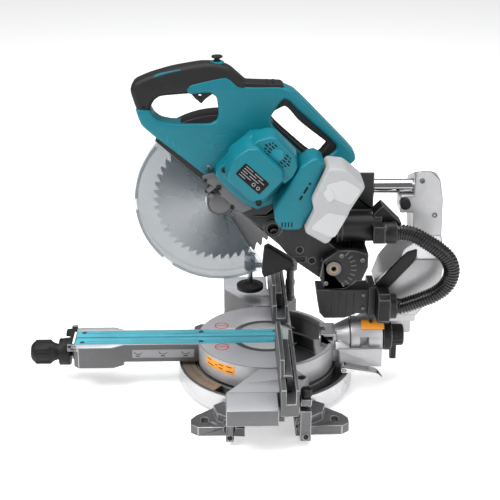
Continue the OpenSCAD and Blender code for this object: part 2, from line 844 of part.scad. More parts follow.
module handle_hole() {
    polygon([
        [-182, 490], [-174, 503], [-128, 510], [-90, 513], [-79, 505], [-77, 482], [-80, 470], [-90, 464],
        [-150, 464], [-168, 468], [-178, 476]
    ]);
}
module carry_hole() {
    polygon([[-1, 468], [22, 503], [31, 501], [48, 483], [107, 430], [108, 421], [84, 402], [64, 406]]);
}
module nose_zone() {
    polygon([[-240, 400], [-84, 400], [-84, 474], [-170, 474], [-170, 495], [-240, 495]]);
}
// Opening that the trigger moves in
module trigger_slot() {
    yz(grip_x - 12.3, grip_x + 12.3) polygon([[-126, 500], [-78, 500], [-78, 522], [-126, 522]]);
}
module housing_outline() {
    difference() {
        handle_outline();
        handle_hole();
        carry_hole();
    }
}
// Half of the plastic housing between two planes, open on one side
module half_shell(x0, x1, open_low) {
    difference() {
        yz(x0, x1) housing_outline();
        yz(open_low ? x0 - 1 : x0 + shell, open_low ? x1 - shell : x1 + 1) offset(delta = -shell) housing_outline();
    }
}
module grip_zone() {
    polygon([
        [-240, 486], [-170, 486], [-170, 506], [-128, 520], [-110, 532], [-66, 534], [-44, 516], [24, 514],
        [24, 600], [-240, 600]
    ]);
}
module housing_right() {
    color("darkcyan") difference() {
        union() {
            difference() {
                half_shell(grip_x, grip_near, true);
                rod_x(-60, 60, case_out + gap, blade_y, blade_z);
            }
            // the nose below the grip is whole
            difference() {
                yz(grip_far, grip_x + 1) intersection() {
                    housing_outline();
                    nose_zone();
                }
                rod_x(-60, 60, case_out + gap, blade_y, blade_z);
            }
            difference() {
                half_shell(shell_x, shell_out, true);
                yz(0, 100) grip_zone();
                yz(0, 100) polygon([[-240, 470], [-60, 470], [-60, 600], [-240, 600]]);
            }
        }
        yz(-60, 60) grip_zone();
        rod_x(0, 60, 24, blade_y, blade_z);
        rod_x(0, 60, 20 + gap, motor_y, motor_z);
        trigger_slot();
    }
}
module housing_left() {
    color("darkcyan") difference() {
        half_shell(grip_far, grip_x, false);
        rod_x(-60, 60, case_out + gap, blade_y, blade_z);
        yz(-60, 60) grip_zone();
        yz(-60, 60) nose_zone();
        trigger_slot();
    }
}
module grip_cover() {
    color("black") difference() {
        yz(grip_far, grip_near) intersection() {
            housing_outline();
            grip_zone();
        }
        yz(grip_far + 6, grip_near - 6) intersection() {
            offset(delta = -6) housing_outline();
            grip_zone();
        }
        rod_z(540, 570, 5.2, grip_x, -79);
    }
}
motor_x = shell_out + gap;
module motor_outline(inset) {
    a = motor_box[0] / 2 - inset;
    b = motor_box[1] / 2 - inset;
    c = 16 - inset / 2;
    polygon([
        [-a + c, -b], [a - c, -b], [a, -b + c], [a, b - c], [a - c, b], [-a + c, b], [-a, b - c], [-a, -b + c]
    ]);
}
module motor_cover() {
    color("darkcyan") at_motor() difference() {
        union() {
            yz(motor_x, motor_x + motor_depth - 26) motor_outline(0);
            yz(motor_x + motor_depth - 26.1, motor_x + motor_depth) motor_outline(13);
        }
        yz(motor_x - 1, motor_x + motor_depth - 30) motor_outline(shell);
        yz(motor_x - 1, motor_x + motor_depth - shell) motor_outline(13 + shell);
        // cooling slots
        for (s = [-1, 1], i = [0:3]) {
            block([motor_x + motor_depth - 5, 8 * i - 14, s > 0 ? 12 : -24], [motor_x + 100, 8 * i - 10, s > 0 ? 24 : -12]);
        }
    }
}
module motor_core() {
    color("dimgray") {
        rod_x(motor_x + 2, motor_x + motor_depth - 34, 34, motor_y, motor_z);
        rod_x(31, motor_x + 3, 8, motor_y, motor_z);
        rod_x(motor_x + motor_depth - 36, motor_x + motor_depth - 8, 10, motor_y, motor_z);
    }
}
module battery_holder() {
    color("darkcyan") at_battery() difference() {
        block([shell_out + gap, -62, 28], [120, 46, 52]);
        block([60, -40, 27], [112, 20, 34]);
    }
}
module battery_pack() {
    color("lightgray") at_battery() {
        block([54, -battery[0] / 2 + 4, 27.7 - battery[1]], [54 + battery[2], battery[0] / 2 + 4, 27.7]);
    }
}
module lock_off_button() {
    color("black") {
        rod_z(534, 564, 5, grip_x, -79);
        rod_z(563, 569, 8, grip_x, -79);
    }
}
module trigger() {
    color("black") difference() {
        yz(grip_x - 9, grip_x + 9) polygon([[-122, 516], [-112, 502], [-104, 494], [-82, 512], [-82, 520], [-122, 520]]);
        rod_x(-20, 40, 3.5, -106, 506);
        rod_x(-20, 40, 2.05, -86, 516);
    }
}
module switch_block() {
    color("dimgray") {
        block([grip_x - 12, -72, 524], [grip_near - 6, -54, 534]);
        rod_x(grip_x - 12, grip_x + 12, 2, -86, 516);
        block([grip_x - 12, -88, 514], [grip_x - 10, -60, 530]);
        block([grip_x + 10, -88, 514], [grip_x + 12, -60, 530]);
    }
}

// ---- dust hose: one tube swept along its route ----
function cross3(a, b) = [a[1] * b[2] - a[2] * b[1], a[2] * b[0] - a[0] * b[2], a[0] * b[1] - a[1] * b[0]];
function unit(v) = v / norm(v);
function along(p, i) = unit(p[min(i + 1, len(p) - 1)] - p[max(i - 1, 0)]);
function tube_ring(p, i, r, sides) = let (t = along(p, i), u = unit(cross3([1, 0, 0], t)), w = cross3(t, u))
    [for (k = [0:sides - 1]) p[i] + r * (u * cos(360 * k / sides) + w * sin(360 * k / sides))];
module tube(p, r, sides = 12) {
    n = len(p);
    polyhedron(
        points = [for (i = [0:n - 1]) each tube_ring(p, i, r, sides)],
        faces = concat(
            [[for (k = [0:sides - 1]) k]],
            [[for (k = [0:sides - 1]) n * sides - 1 - k]],
            [for (i = [0:n - 2], k = [0:sides - 1]) let (a = i * sides + k, b = i * sides + (k + 1) % sides)
                [a, a + sides, b + sides, b]]
        )
    );
}
module dust_hose() {
    color("black") tube(hose_route, hose_d / 2);
}

base_casting();
mitre_scale();
behind_table() release_lever();
pivot_bolt();
mirrored() fence();  // fence_left
fence();  // fence_right
mirrored() upper_fence();  // upper_fence_left
upper_fence();  // upper_fence_right
mirrored() wing();  // wing_left
wing();  // wing_right
mirrored() wing_rods();  // wing_rods_left
wing_rods();  // wing_rods_right
mirrored() wing_knob();  // wing_knob_left
wing_knob();  // wing_knob_right
vise_post();
vise_arm();
vise_screw();
vise_pad();
turntable();
front_arm();
kerf_boards();
knob_shaft();
mitre_knob();
detent_lever();
behind_table() bevel_bracket();
behind_table() bevel_bolt();
behind_table() bevel_arm();
behind_table() column();
behind_table() slide_poles();
behind_table() pole_stop();
behind_table() lower_duct();
behind_table() duct_elbow();
behind_table() bevel_pointer();
behind_table() bevel_lock_knob();
behind_table() slide_lock_knob();
behind_table() carriage();
behind_table() pole_bushings();
behind_table() head_pivot_pin();
behind_table() return_spring();
behind_table() dust_pipe();
behind_table() hose_connector();
behind_table() dust_flap();
behind_table() blade_case();
behind_table() gear_housing();
behind_table() head_arm();
behind_table() housing_right();
behind_table() housing_left();
behind_table() grip_cover();
behind_table() motor_cover();
behind_table() motor_core();
behind_table() battery_holder();
behind_table() battery_pack();
behind_table() lock_off_button();
behind_table() trigger();
behind_table() switch_block();
behind_table() spindle();
behind_table() blade_flange();
behind_table() blade();
behind_table() lower_guard();
behind_table() dust_hose();
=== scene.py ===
"""Sliding compound mitre saw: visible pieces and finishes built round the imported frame."""

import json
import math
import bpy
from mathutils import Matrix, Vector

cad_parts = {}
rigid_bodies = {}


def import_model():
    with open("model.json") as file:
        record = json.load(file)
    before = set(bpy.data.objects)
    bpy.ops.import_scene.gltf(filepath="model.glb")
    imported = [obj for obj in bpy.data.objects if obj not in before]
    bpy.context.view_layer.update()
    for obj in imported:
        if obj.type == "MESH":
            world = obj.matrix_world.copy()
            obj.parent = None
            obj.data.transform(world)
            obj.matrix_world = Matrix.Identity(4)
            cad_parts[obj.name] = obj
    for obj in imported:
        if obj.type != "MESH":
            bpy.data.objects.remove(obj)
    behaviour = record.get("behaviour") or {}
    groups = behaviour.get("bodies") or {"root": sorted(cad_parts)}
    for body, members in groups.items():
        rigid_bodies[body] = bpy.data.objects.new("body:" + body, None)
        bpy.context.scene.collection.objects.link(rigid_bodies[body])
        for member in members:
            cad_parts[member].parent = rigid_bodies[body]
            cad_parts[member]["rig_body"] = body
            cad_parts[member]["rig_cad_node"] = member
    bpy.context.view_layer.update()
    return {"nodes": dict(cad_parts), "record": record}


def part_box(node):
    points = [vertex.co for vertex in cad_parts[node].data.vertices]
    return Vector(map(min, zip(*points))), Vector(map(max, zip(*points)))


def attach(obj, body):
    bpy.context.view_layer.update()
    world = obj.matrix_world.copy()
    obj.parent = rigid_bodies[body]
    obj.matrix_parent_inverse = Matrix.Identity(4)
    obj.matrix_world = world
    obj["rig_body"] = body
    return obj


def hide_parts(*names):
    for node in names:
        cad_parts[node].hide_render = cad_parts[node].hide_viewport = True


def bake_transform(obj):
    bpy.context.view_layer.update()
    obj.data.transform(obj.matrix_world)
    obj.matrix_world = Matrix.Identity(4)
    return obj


bl_info = {
    "name": "Sliding Mitre Saw",
    "version": (1, 0, 0),
    "blender": (4, 5, 0),
    "location": "3D View > Sidebar > Mitre Saw",
    "description": "Builds the visible pieces and finishes of a sliding compound mitre saw",
    "category": "Object",
}

import bmesh
import bpy
from mathutils import Matrix, Vector

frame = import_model()
NODES = frame["nodes"]
MM = 0.001

# Places that the pieces share with the frame, in millimetres
BLADE_CENTRE = (0, -76, 334)
MOTOR_CENTRE = (0, -18, 405)
MOTOR_TILT = -43
HEAD_PIVOT = (0, 106, 232)
CASE_RADIUS = 144.3
CASE_FACE = 23.3
HOUSING_X = (-10, 28.5)
GEAR_FACE = 28.3
TABLE_TOP = 83
BASE_RADIUS = 148
RING_TOP = 45
LEVEL_FACE = 0.98
HOSE_ROUTE = [
    (46, 212, 158), (46, 222, 158), (49, 236, 164), (53, 254, 173), (57, 272, 183), (60, 288, 198),
    (61, 296, 216), (61, 296, 234), (60, 288, 250), (57, 272, 264), (53, 254, 275), (48, 236, 284),
    (46, 218, 288), (46, 206, 288),
]

# The slot that goes with a finish, unless a piece says another
SLOTS = {
    "housing teal": "teal_plastic", "housing edge": "teal_plastic", "black plastic": "black_plastic",
    "duct plastic": "black_plastic", "black rubber": "black_rubber", "dark print and shade": "dark_paint",
    "dark edge": "dark_paint", "dark steel": "dark_steel", "grey paint": "grey_paint", "bronze": "bronze",
    "orange label": "pointer_orange", "red mark": "pointer_orange", "grey label": "grey_plastic",
    "grey plastic": "grey_plastic", "pale plastic": "grey_plastic", "guard rim": "guard_plastic",
    "pale mark": "scale_plate",
}

MATERIALS = {}


# ---- sizes and colours that a user may change ----
class SawSizes(bpy.types.PropertyGroup):
    casting_edge: bpy.props.FloatProperty(
        name="Casting edges", description="Scale of the rounding of the cast metal edges",
        default=1.0, min=0.3, max=1.5)
    plastic_edge: bpy.props.FloatProperty(
        name="Plastic edge", description="Rounding of the moulded housing's edges",
        default=0.005, min=0.001, max=0.006, unit="LENGTH")
    grip_edge: bpy.props.FloatProperty(
        name="Grip edge", description="Rounding of the rubber grip",
        default=0.009, min=0.003, max=0.012, unit="LENGTH")
    hose_pitch: bpy.props.FloatProperty(
        name="Hose pitch", description="Distance from one hose rib to the next",
        default=0.0046, min=0.003, max=0.008, unit="LENGTH")
    camera_lens: bpy.props.FloatProperty(
        name="Lens", description="Focal length of the camera in millimetres",
        default=82.26, min=35, max=150)


class SawColours(bpy.types.PropertyGroup):
    housing: bpy.props.FloatVectorProperty(
        name="Housing", description="Colour of the moulded housings", subtype="COLOR", size=3,
        default=(0.0016, 0.150, 0.195), min=0, max=1)
    casting: bpy.props.FloatVectorProperty(
        name="Castings", description="Colour of the painted aluminium castings", subtype="COLOR", size=3,
        default=(0.42, 0.42, 0.43), min=0, max=1)
    rubber: bpy.props.FloatVectorProperty(
        name="Rubber", description="Colour of the grips and knobs", subtype="COLOR", size=3,
        default=(0.008, 0.008, 0.009), min=0, max=1)
    boards: bpy.props.FloatVectorProperty(
        name="Kerf boards", description="Colour of the kerf boards", subtype="COLOR", size=3,
        default=(0.09, 0.42, 0.52), min=0, max=1)


def sizes():
    return bpy.context.scene.saw_sizes


def colours():
    return bpy.context.scene.saw_colours


# ---- mesh helpers ----
def clear():
    if bpy.context.object and bpy.context.object.mode != "OBJECT":
        bpy.ops.object.mode_set(mode="OBJECT")
    bpy.ops.object.select_all(action="DESELECT")


def pick(obj):
    clear()
    obj.hide_set(False)
    obj.select_set(True)
    bpy.context.view_layer.objects.active = obj


def settle(obj):
    """Puts the object's place into its mesh, so that its own origin is the frame's."""
    pick(obj)
    bpy.ops.object.transform_apply(location=True, rotation=True, scale=True)


def turn_about(obj, degrees, centre, axis="X"):
    """Turns a part about an axis through a centre in millimetres."""
    there = Matrix.Translation(Vector(centre) * MM)
    obj.matrix_world = there @ Matrix.Rotation(math.radians(degrees), 4, axis) @ there.inverted()
    settle(obj)
    return obj


def modify(obj, kind, **values):
    pick(obj)
    bpy.ops.object.modifier_add(type=kind)
    modifier = obj.modifiers[-1]
    for key, value in values.items():
        setattr(modifier, key, value)
    bpy.ops.object.modifier_apply(modifier=modifier.name)


def smooth(obj, angle=32):
    pick(obj)
    bpy.ops.object.shade_smooth_by_angle(angle=math.radians(angle))


def paint(obj, *names):
    obj.data.materials.clear()
    for name in names:
        obj.data.materials.append(MATERIALS[name])


def mount(obj, name, body, slot, *replaced):
    """Names a finished piece and lets it ride on its body."""
    obj.name = name
    obj.data.name = name
    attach(obj, body)
    if replaced:
        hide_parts(*replaced)
    return obj


def join(parts):
    clear()
    for part in parts:
        part.select_set(True)
    bpy.context.view_layer.objects.active = parts[0]
    if len(parts) > 1:
        bpy.ops.object.join()
    return bpy.context.object


def make(parts, finish, name, body, *replaced, slot=None):
    """Joins the parts of a piece, finishes it and mounts it."""
    obj = join(parts if isinstance(parts, list) else [parts])
    paint(obj, finish)
    mount(obj, name, body, slot or SLOTS[finish], *replaced)


def bevel(obj, width, segments=2, angle=32, edge_material=-1):
    modify(obj, "BEVEL", width=width, segments=segments, limit_method="ANGLE",
           angle_limit=math.radians(angle),
           use_clamp_overlap=False, material=edge_material)


def cut(obj, cutters, operation="DIFFERENCE"):
    tool = join(cutters)
    modify(obj, "BOOLEAN", operation=operation, object=tool, solver="EXACT")
    bpy.data.objects.remove(tool)


def turned(points, centre, degrees):
    """Points (y, z) given from a centre, turned about X and placed."""
    c, s = math.cos(math.radians(degrees)), math.sin(math.radians(degrees))
    return [(centre[0] + y * c - z * s, centre[1] + y * s + z * c) for y, z in points]


def soften(points, cut_by=0.2, times=2):
    """Rounds an outline's corners by cutting them again and again."""
    for _ in range(times):
        out = []
        for i, a in enumerate(points):
            b = points[(i + 1) % len(points)]
            out.append((a[0] + (b[0] - a[0]) * cut_by, a[1] + (b[1] - a[1]) * cut_by))
            out.append((b[0] - (b[0] - a[0]) * cut_by, b[1] - (b[1] - a[1]) * cut_by))
        points = out
    return points


def arc(radius, start, end, steps, centre=(0, 0)):
    """Points along an arc, from and to angles in degrees."""
    angles = [math.radians(start + (end - start) * i / steps) for i in range(steps + 1)]
    return [(centre[0] + radius * math.cos(a), centre[1] + radius * math.sin(a)) for a in angles]


def circle(radius, steps, centre=(0, 0)):
    return arc(radius, 0, 360, steps, centre)[:-1]


def sector(inner, outer, start, end, steps, centre=(0, 0)):
    """Closed outline of a part of a ring."""
    return arc(outer, start, end, steps, centre) + arc(inner, start, end, steps, centre)[::-1]


# Turns a flat outline into a place across X, Y or Z
ACROSS = {
    "X": Matrix(((0, 0, 1, 0), (1, 0, 0, 0), (0, 1, 0, 0), (0, 0, 0, 1))),
    "Y": Matrix(((1, 0, 0, 0), (0, 0, -1, 0), (0, 1, 0, 0), (0, 0, 0, 1))),
    "Z": Matrix.Identity(4),
}


def plate(loops, low, high, edge, steps=3, axis="X"):
    """A solid with rounded rims from closed outlines in millimetres, between two planes across an axis."""
    curve = bpy.data.curves.new("plate", "CURVE")
    curve.dimensions = "2D"
    curve.fill_mode = "BOTH"
    curve.extrude = ((high - low) / 2 - edge) * MM
    curve.bevel_depth = edge * MM
    curve.bevel_resolution = steps
    curve.offset = -edge * MM
    for loop in loops:
        spline = curve.splines.new("POLY")
        spline.points.add(len(loop) - 1)
        for point, (u, v) in zip(spline.points, loop):
            point.co = (u * MM, v * MM, 0, 1)
        spline.use_cyclic_u = True
    obj = bpy.data.objects.new("plate", curve)
    bpy.context.scene.collection.objects.link(obj)
    pick(obj)
    bpy.ops.object.convert(target="MESH")
    obj = bpy.context.object
    middle = (low + high) / 2 * MM
    shift = {"X": (middle, 0, 0), "Y": (0, middle, 0), "Z": (0, 0, middle)}[axis]
    obj.matrix_world = Matrix.Translation(shift) @ ACROSS[axis]
    settle(obj)
    bpy.ops.object.mode_set(mode="EDIT")
    bpy.ops.mesh.select_all(action="SELECT")
    bpy.ops.mesh.remove_doubles(threshold=2e-6)
    bpy.ops.mesh.normals_make_consistent(inside=False)
    bpy.ops.object.mode_set(mode="OBJECT")
    smooth(obj, 40)
    return obj


def slab(low, high, edge=0.6, turn=None, centre=None, segments=2):
    """A block with rounded edges, from its corners in millimetres, turned about X round a centre if asked."""
    middle = [(a + b) / 2 * MM for a, b in zip(low, high)]
    clear()
    bpy.ops.mesh.primitive_cube_add(size=1, location=middle)
    obj = bpy.context.object
    obj.scale = [(b - a) * MM for a, b in zip(low, high)]
    settle(obj)
    if edge:
        bevel(obj, edge * MM, segments)
    if turn:
        turn_about(obj, turn, centre)
    smooth(obj)
    return obj


def rod(start, end, radius, edge=0.5, sides=40, end_radius=None):
    """A round bar or cone between two points, with rounded rims."""
    a, b = Vector(start) * MM, Vector(end) * MM
    clear()
    bpy.ops.mesh.primitive_cone_add(
        vertices=sides, radius1=radius * MM, radius2=(end_radius or radius) * MM,
        depth=(b - a).length, location=(a + b) / 2, rotation=(b - a).to_track_quat("Z", "X").to_euler())
    obj = bpy.context.object
    settle(obj)
    if edge:
        bevel(obj, edge * MM, 2, 50)
    smooth(obj, 40)
    return obj


def lathe(profile, centre, axis, steps=56):
    """A turned solid: (radius, along) points in millimetres spun about an axis through a centre."""
    clear()
    mesh = bpy.data.meshes.new("lathe")
    mesh.from_pydata([(r * MM, 0, z * MM) for r, z in profile], [(i, i + 1) for i in range(len(profile) - 1)],
                     [])
    obj = bpy.data.objects.new("lathe", mesh)
    bpy.context.scene.collection.objects.link(obj)
    modify(obj, "SCREW", steps=steps, render_steps=steps, angle=math.tau, axis="Z",
           use_merge_vertices=True, merge_threshold=1e-6)
    pick(obj)
    bpy.ops.object.mode_set(mode="EDIT")
    bpy.ops.mesh.select_all(action="SELECT")
    bpy.ops.mesh.remove_doubles(threshold=1e-6)
    bpy.ops.mesh.normals_make_consistent(inside=False)
    bpy.ops.object.mode_set(mode="OBJECT")
    obj.matrix_world = Matrix.Translation(Vector(centre) * MM) @ Vector(axis).to_track_quat("Z",
                                                                "Y").to_matrix().to_4x4()
    settle(obj)
    smooth(obj, 35)
    return obj


def screw_head(place, radius, depth, normal=(1, 0, 0)):
    """A socket screw's head, with its recess turned in."""
    r, d = radius, depth
    profile = [(0, d * 0.35), (r * 0.45, d * 0.35), (r * 0.5, d * 0.95), (r * 0.9, d), (r, d * 0.8), (r, 0),
               (0, 0)]
    return lathe(profile, place, normal, 20)


def machine_top(obj, ring):
    """Gives the level top its machined finish, and the faces round a ring their polish."""
    for face in obj.data.polygons:
        out = math.hypot(face.center.x, face.center.y) / MM
        upright = abs(face.normal.z) < LEVEL_FACE
        if ring and ring - 3 < out < ring + 1 and face.center.z < RING_TOP * MM and upright:
            face.material_index = 3
        if face.normal.z > LEVEL_FACE and abs(face.center.z - TABLE_TOP * MM) < 0.4 * MM:
            face.material_index = 2


def rounded(node, body, slot, finishes, width, segments=2, name=None, angle=32):
    """A copy of a frame node with its doubles merged and its sharp edges rounded, as cast or moulded."""
    copy = NODES[node].copy()
    copy.data = NODES[node].data.copy()
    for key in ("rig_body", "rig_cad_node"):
        if key in copy:
            del copy[key]
    copy.parent = None
    bpy.context.scene.collection.objects.link(copy)
    pick(copy)
    bpy.ops.object.mode_set(mode="EDIT")
    bpy.ops.mesh.select_all(action="SELECT")
    bpy.ops.mesh.remove_doubles(threshold=2e-6)
    if node not in HOLED:
        bpy.ops.mesh.dissolve_limited(angle_limit=math.radians(0.6))
    bpy.ops.object.mode_set(mode="OBJECT")
    paint(copy, *finishes)
    bevel(copy, width * MM, segments, angle, 1 if len(finishes) > 1 else -1)
    if node in MACHINED:
        machine_top(copy, BASE_RADIUS if node == "base_casting" else None)
    smooth(copy, 30)
    mount(copy, name or node + "_finished", body, slot, node)


# ---- finishes ----
AT = (0.0, 0.0, 0.0)
BLACK = (0.0, 0.0, 0.0, 1.0)


def node_group(name, inputs, outputs):
    """A new group, its input sockets and its output sockets, each of the kind of its default value."""
    tree = bpy.data.node_groups.new(name, "ShaderNodeTree")
    for in_out, sockets in (("INPUT", inputs), ("OUTPUT", outputs)):
        for label, default in sockets.items():
            kind = "Float" if isinstance(default, float) else {3: "Vector", 4: "Color"}[len(default)]
            socket = tree.interface.new_socket(name=label, in_out=in_out, socket_type="NodeSocket" + kind)
            socket.default_value = default
    return tree, tree.nodes.new("NodeGroupInput").outputs, tree.nodes.new("NodeGroupOutput").inputs


def put(tree, socket, value):
    """Links a socket to another, or gives it a fixed value."""
    if isinstance(value, bpy.types.NodeSocket):
        tree.links.new(value, socket)
    else:
        socket.default_value = value


def add(tree, kind, inputs=(), **values):
    node = tree.nodes.new(kind)
    for key, value in values.items():
        setattr(node, key, value)
    for key, value in dict(inputs).items():
        put(tree, node.inputs[key], value)
    return node


def calc(tree, operation, *values, clamp=False):
    return add(tree, "ShaderNodeMath", enumerate(values), operation=operation, use_clamp=clamp).outputs[0]


def noise(tree, vector, scale, detail=3.0, rough=0.55):
    return add(tree, "ShaderNodeTexNoise", {"Vector": vector, "Scale": scale, "Detail": detail,
                                            "Roughness": rough}).outputs["Fac"]


def remap(tree, value, low, high, to_low=0.0, to_high=1.0):
    return add(tree, "ShaderNodeMapRange", {"Value": value, "From Min": low, "From Max": high,
                                            "To Min": to_low, "To Max": to_high}).outputs["Result"]


def mixed(tree, mask, a, b):
    return add(tree, "ShaderNodeMix", {"Factor": mask, "A": a, "B": b}, data_type="RGBA").outputs["Result"]


def build_grain():
    """Fine surface grain with slow patches of tone."""
    tree, at, out = node_group("Surface Grain", {
        "Vector": AT, "Grain": 900.0, "Patches": 12.0, "Light": (0.5, 0.5, 0.5, 1), "Dark": (0.3, 0.3, 0.3,
                                                                1),
        "Smooth": 0.35, "Rough": 0.5}, {"Colour": BLACK, "Roughness": 0.0, "Height": 0.0})
    fine = noise(tree, at["Vector"], at["Grain"], 2.0)
    slow = noise(tree, at["Vector"], at["Patches"], 4.0)
    both = calc(tree, "ADD", calc(tree, "MULTIPLY", fine, 0.35), calc(tree, "MULTIPLY", slow, 0.65))
    put(tree, out["Colour"], mixed(tree, remap(tree, both, 0.36, 0.64), at["Dark"], at["Light"]))
    put(tree, out["Roughness"], remap(tree, slow, 0.3, 0.7, at["Smooth"], at["Rough"]))
    put(tree, out["Height"], fine)


def build_brush():
    """Lines of brushing: noise that is drawn out along one direction."""
    tree, at, out = node_group("Brushed Lines", {"Vector": AT, "Stretch": (1.0, 1.0, 1.0), "Scale": 300.0},
                               {"Lines": 0.0})
    scaled = add(tree, "ShaderNodeVectorMath", {0: at["Vector"], 1: at["Stretch"]}, operation="MULTIPLY")
    put(tree, out["Lines"], noise(tree, scaled.outputs[0], at["Scale"], 4.0, 0.7))


def build_wear():
    """Mask of small rubbed and dusty spots."""
    tree, at, out = node_group("Worn Spots", {"Vector": AT, "Scale": 60.0, "Amount": 0.3}, {"Mask": 0.0})
    spots = noise(tree, at["Vector"], at["Scale"], 6.0, 0.7)
    put(tree, out["Mask"], remap(tree, spots, 0.55, 0.72, 0.0, at["Amount"]))


def build_disc_sheen():
    """Painted reflection about an X axis: bright and dark sectors by angle that stand in for the light a ground
    disc mirrors, with its fine turned rings.
    """
    tree, at, out = node_group("Disc Sheen And Rings", {"Vector": AT, "Centre": AT, "Turn": 0.0, "Rings": 1500.0},
                               {"Painted Sheen And Rings": 0.0, "Rings": 0.0})
    off = add(tree, "ShaderNodeVectorMath", {0: at["Vector"], 1: at["Centre"]},
              operation="SUBTRACT").outputs[0]
    axes = add(tree, "ShaderNodeSeparateXYZ", {0: off}).outputs
    angle = calc(tree, "ARCTAN2", axes["Z"], axes["Y"])
    # Painted reflection: brightness rises and falls twice round the centre
    painted_sheen_wave = calc(tree, "SINE", calc(tree, "ADD", calc(tree, "MULTIPLY", angle, 2.0), at["Turn"]))
    out_from_centre = add(tree, "ShaderNodeVectorMath", {0: off}, operation="LENGTH").outputs["Value"]
    rings = add(tree, "ShaderNodeTexNoise", noise_dimensions="1D")
    put(tree, rings.inputs["W"], calc(tree, "MULTIPLY", out_from_centre, at["Rings"]))
    put(tree, rings.inputs["Scale"], 1.0)
    # The tone is the painted reflection sectors with a little of the turned rings added
    tone = calc(tree, "ADD", calc(tree, "MULTIPLY", painted_sheen_wave, 0.5), 0.5, clamp=True)
    tone = calc(tree, "MULTIPLY", calc(tree, "POWER", tone, 1.6), 0.85)
    fine = calc(tree, "MULTIPLY", rings.outputs["Fac"], 0.15)
    put(tree, out["Painted Sheen And Rings"], calc(tree, "ADD", tone, fine, clamp=True))
    put(tree, out["Rings"], rings.outputs["Fac"])


def rgba(colour, gain=1.0):
    return (*[min(1.0, c * gain) for c in colour], 1)


def tint(colour, gain, lift=0.0):
    return tuple(c * gain + lift for c in colour)


class Finish:
    """A material in the making: object coordinates, the shared groups and one Principled shader."""

    def __init__(self, name, metallic=0.0, **constants):
        self.material = bpy.data.materials.new(name)
        self.material.use_nodes = True
        self.tree = self.material.node_tree
        self.tree.nodes.clear()
        self.shader = add(self.tree, "ShaderNodeBsdfPrincipled", {"Metallic": metallic})
        for key, value in constants.items():
            self.feed(key.replace("_", " "), value)
        add(self.tree, "ShaderNodeOutputMaterial", {"Surface": self.shader.outputs[0]})
        self.vector = add(self.tree, "ShaderNodeTexCoord").outputs["Object"]
        MATERIALS[name] = self.material

    def feed(self, label, value):
        put(self.tree, self.shader.inputs[label], value)

    def use(self, group, **values):
        return add(self.tree, "ShaderNodeGroup", {"Vector": self.vector, **values},
                   node_tree=bpy.data.node_groups[group]).outputs

    def grained(self, **values):
        """Takes the roughness from the shared grain."""
        grain = self.use("Surface Grain", **values)
        self.feed("Roughness", grain["Roughness"])
        return grain

    def colour(self, base, worn=None, **wear):
        """Sets the base colour, with worn spots of another colour on it if asked."""
        if worn:
            base = mixed(self.tree, self.use("Worn Spots", **wear)["Mask"], base, rgba(worn))
        self.feed("Base Color", base)

    def bump(self, height, strength, distance):
        self.feed("Normal", add(self.tree, "ShaderNodeBump", {
            "Strength": strength, "Distance": distance, "Height": height}).outputs[0])


def plain_finish(name, colour, dark, metallic, rough, grain, bump, patches=12, worn=None, wear=0.25,
                 wear_scale=60, **constants):
    f = Finish(name, metallic, **constants)
    surface = f.grained(Grain=grain, Patches=patches, Light=rgba(colour), Dark=rgba(colour, dark),
                        Smooth=rough[0], Rough=rough[1])
    f.colour(surface["Colour"], worn, Scale=wear_scale, Amount=wear)
    f.bump(surface["Height"], bump, 0.0003)


def brushed_finish(name, colour, stretch, dark=0.7, rough=0.3, scale=300, bump=0.1):
    f = Finish(name, 1.0)
    lines = f.use("Brushed Lines", Stretch=stretch, Scale=scale)["Lines"]
    f.colour(mixed(f.tree, lines, rgba(colour, dark), rgba(colour)))
    f.grained(Grain=700, Smooth=rough * 0.8, Rough=rough * 1.25)
    f.bump(lines, bump, 0.0002)


def blade_finish():
    f = Finish("blade steel", 1.0)
    disc = f.use("Disc Sheen And Rings", Centre=tuple(v * MM for v in BLADE_CENTRE), Turn=0.6, Rings=1800)
    # The blade's colour runs from near black to bright by the painted reflection sectors and the rings
    f.colour(mixed(f.tree, disc["Painted Sheen And Rings"], (0.012, 0.012, 0.013, 1), (0.8, 0.8, 0.81, 1)))
    f.grained(Grain=900, Smooth=0.2, Rough=0.32)
    f.bump(disc["Rings"], 0.12, 0.0002)


def guard_finishes():
    for name, alpha, light, dark in (
            ("guard plastic", 0.3, (0.085, 0.115, 0.135, 1), (0.06, 0.09, 0.11, 1)),
            ("guard rim", 0.5, (0.2, 0.26, 0.3, 1), (0.13, 0.18, 0.21, 1))):
        f = Finish(name, Alpha=alpha, IOR=1.45)
        f.colour(f.grained(Grain=300, Patches=9, Light=light, Dark=dark, Smooth=0.06, Rough=0.16)["Colour"])


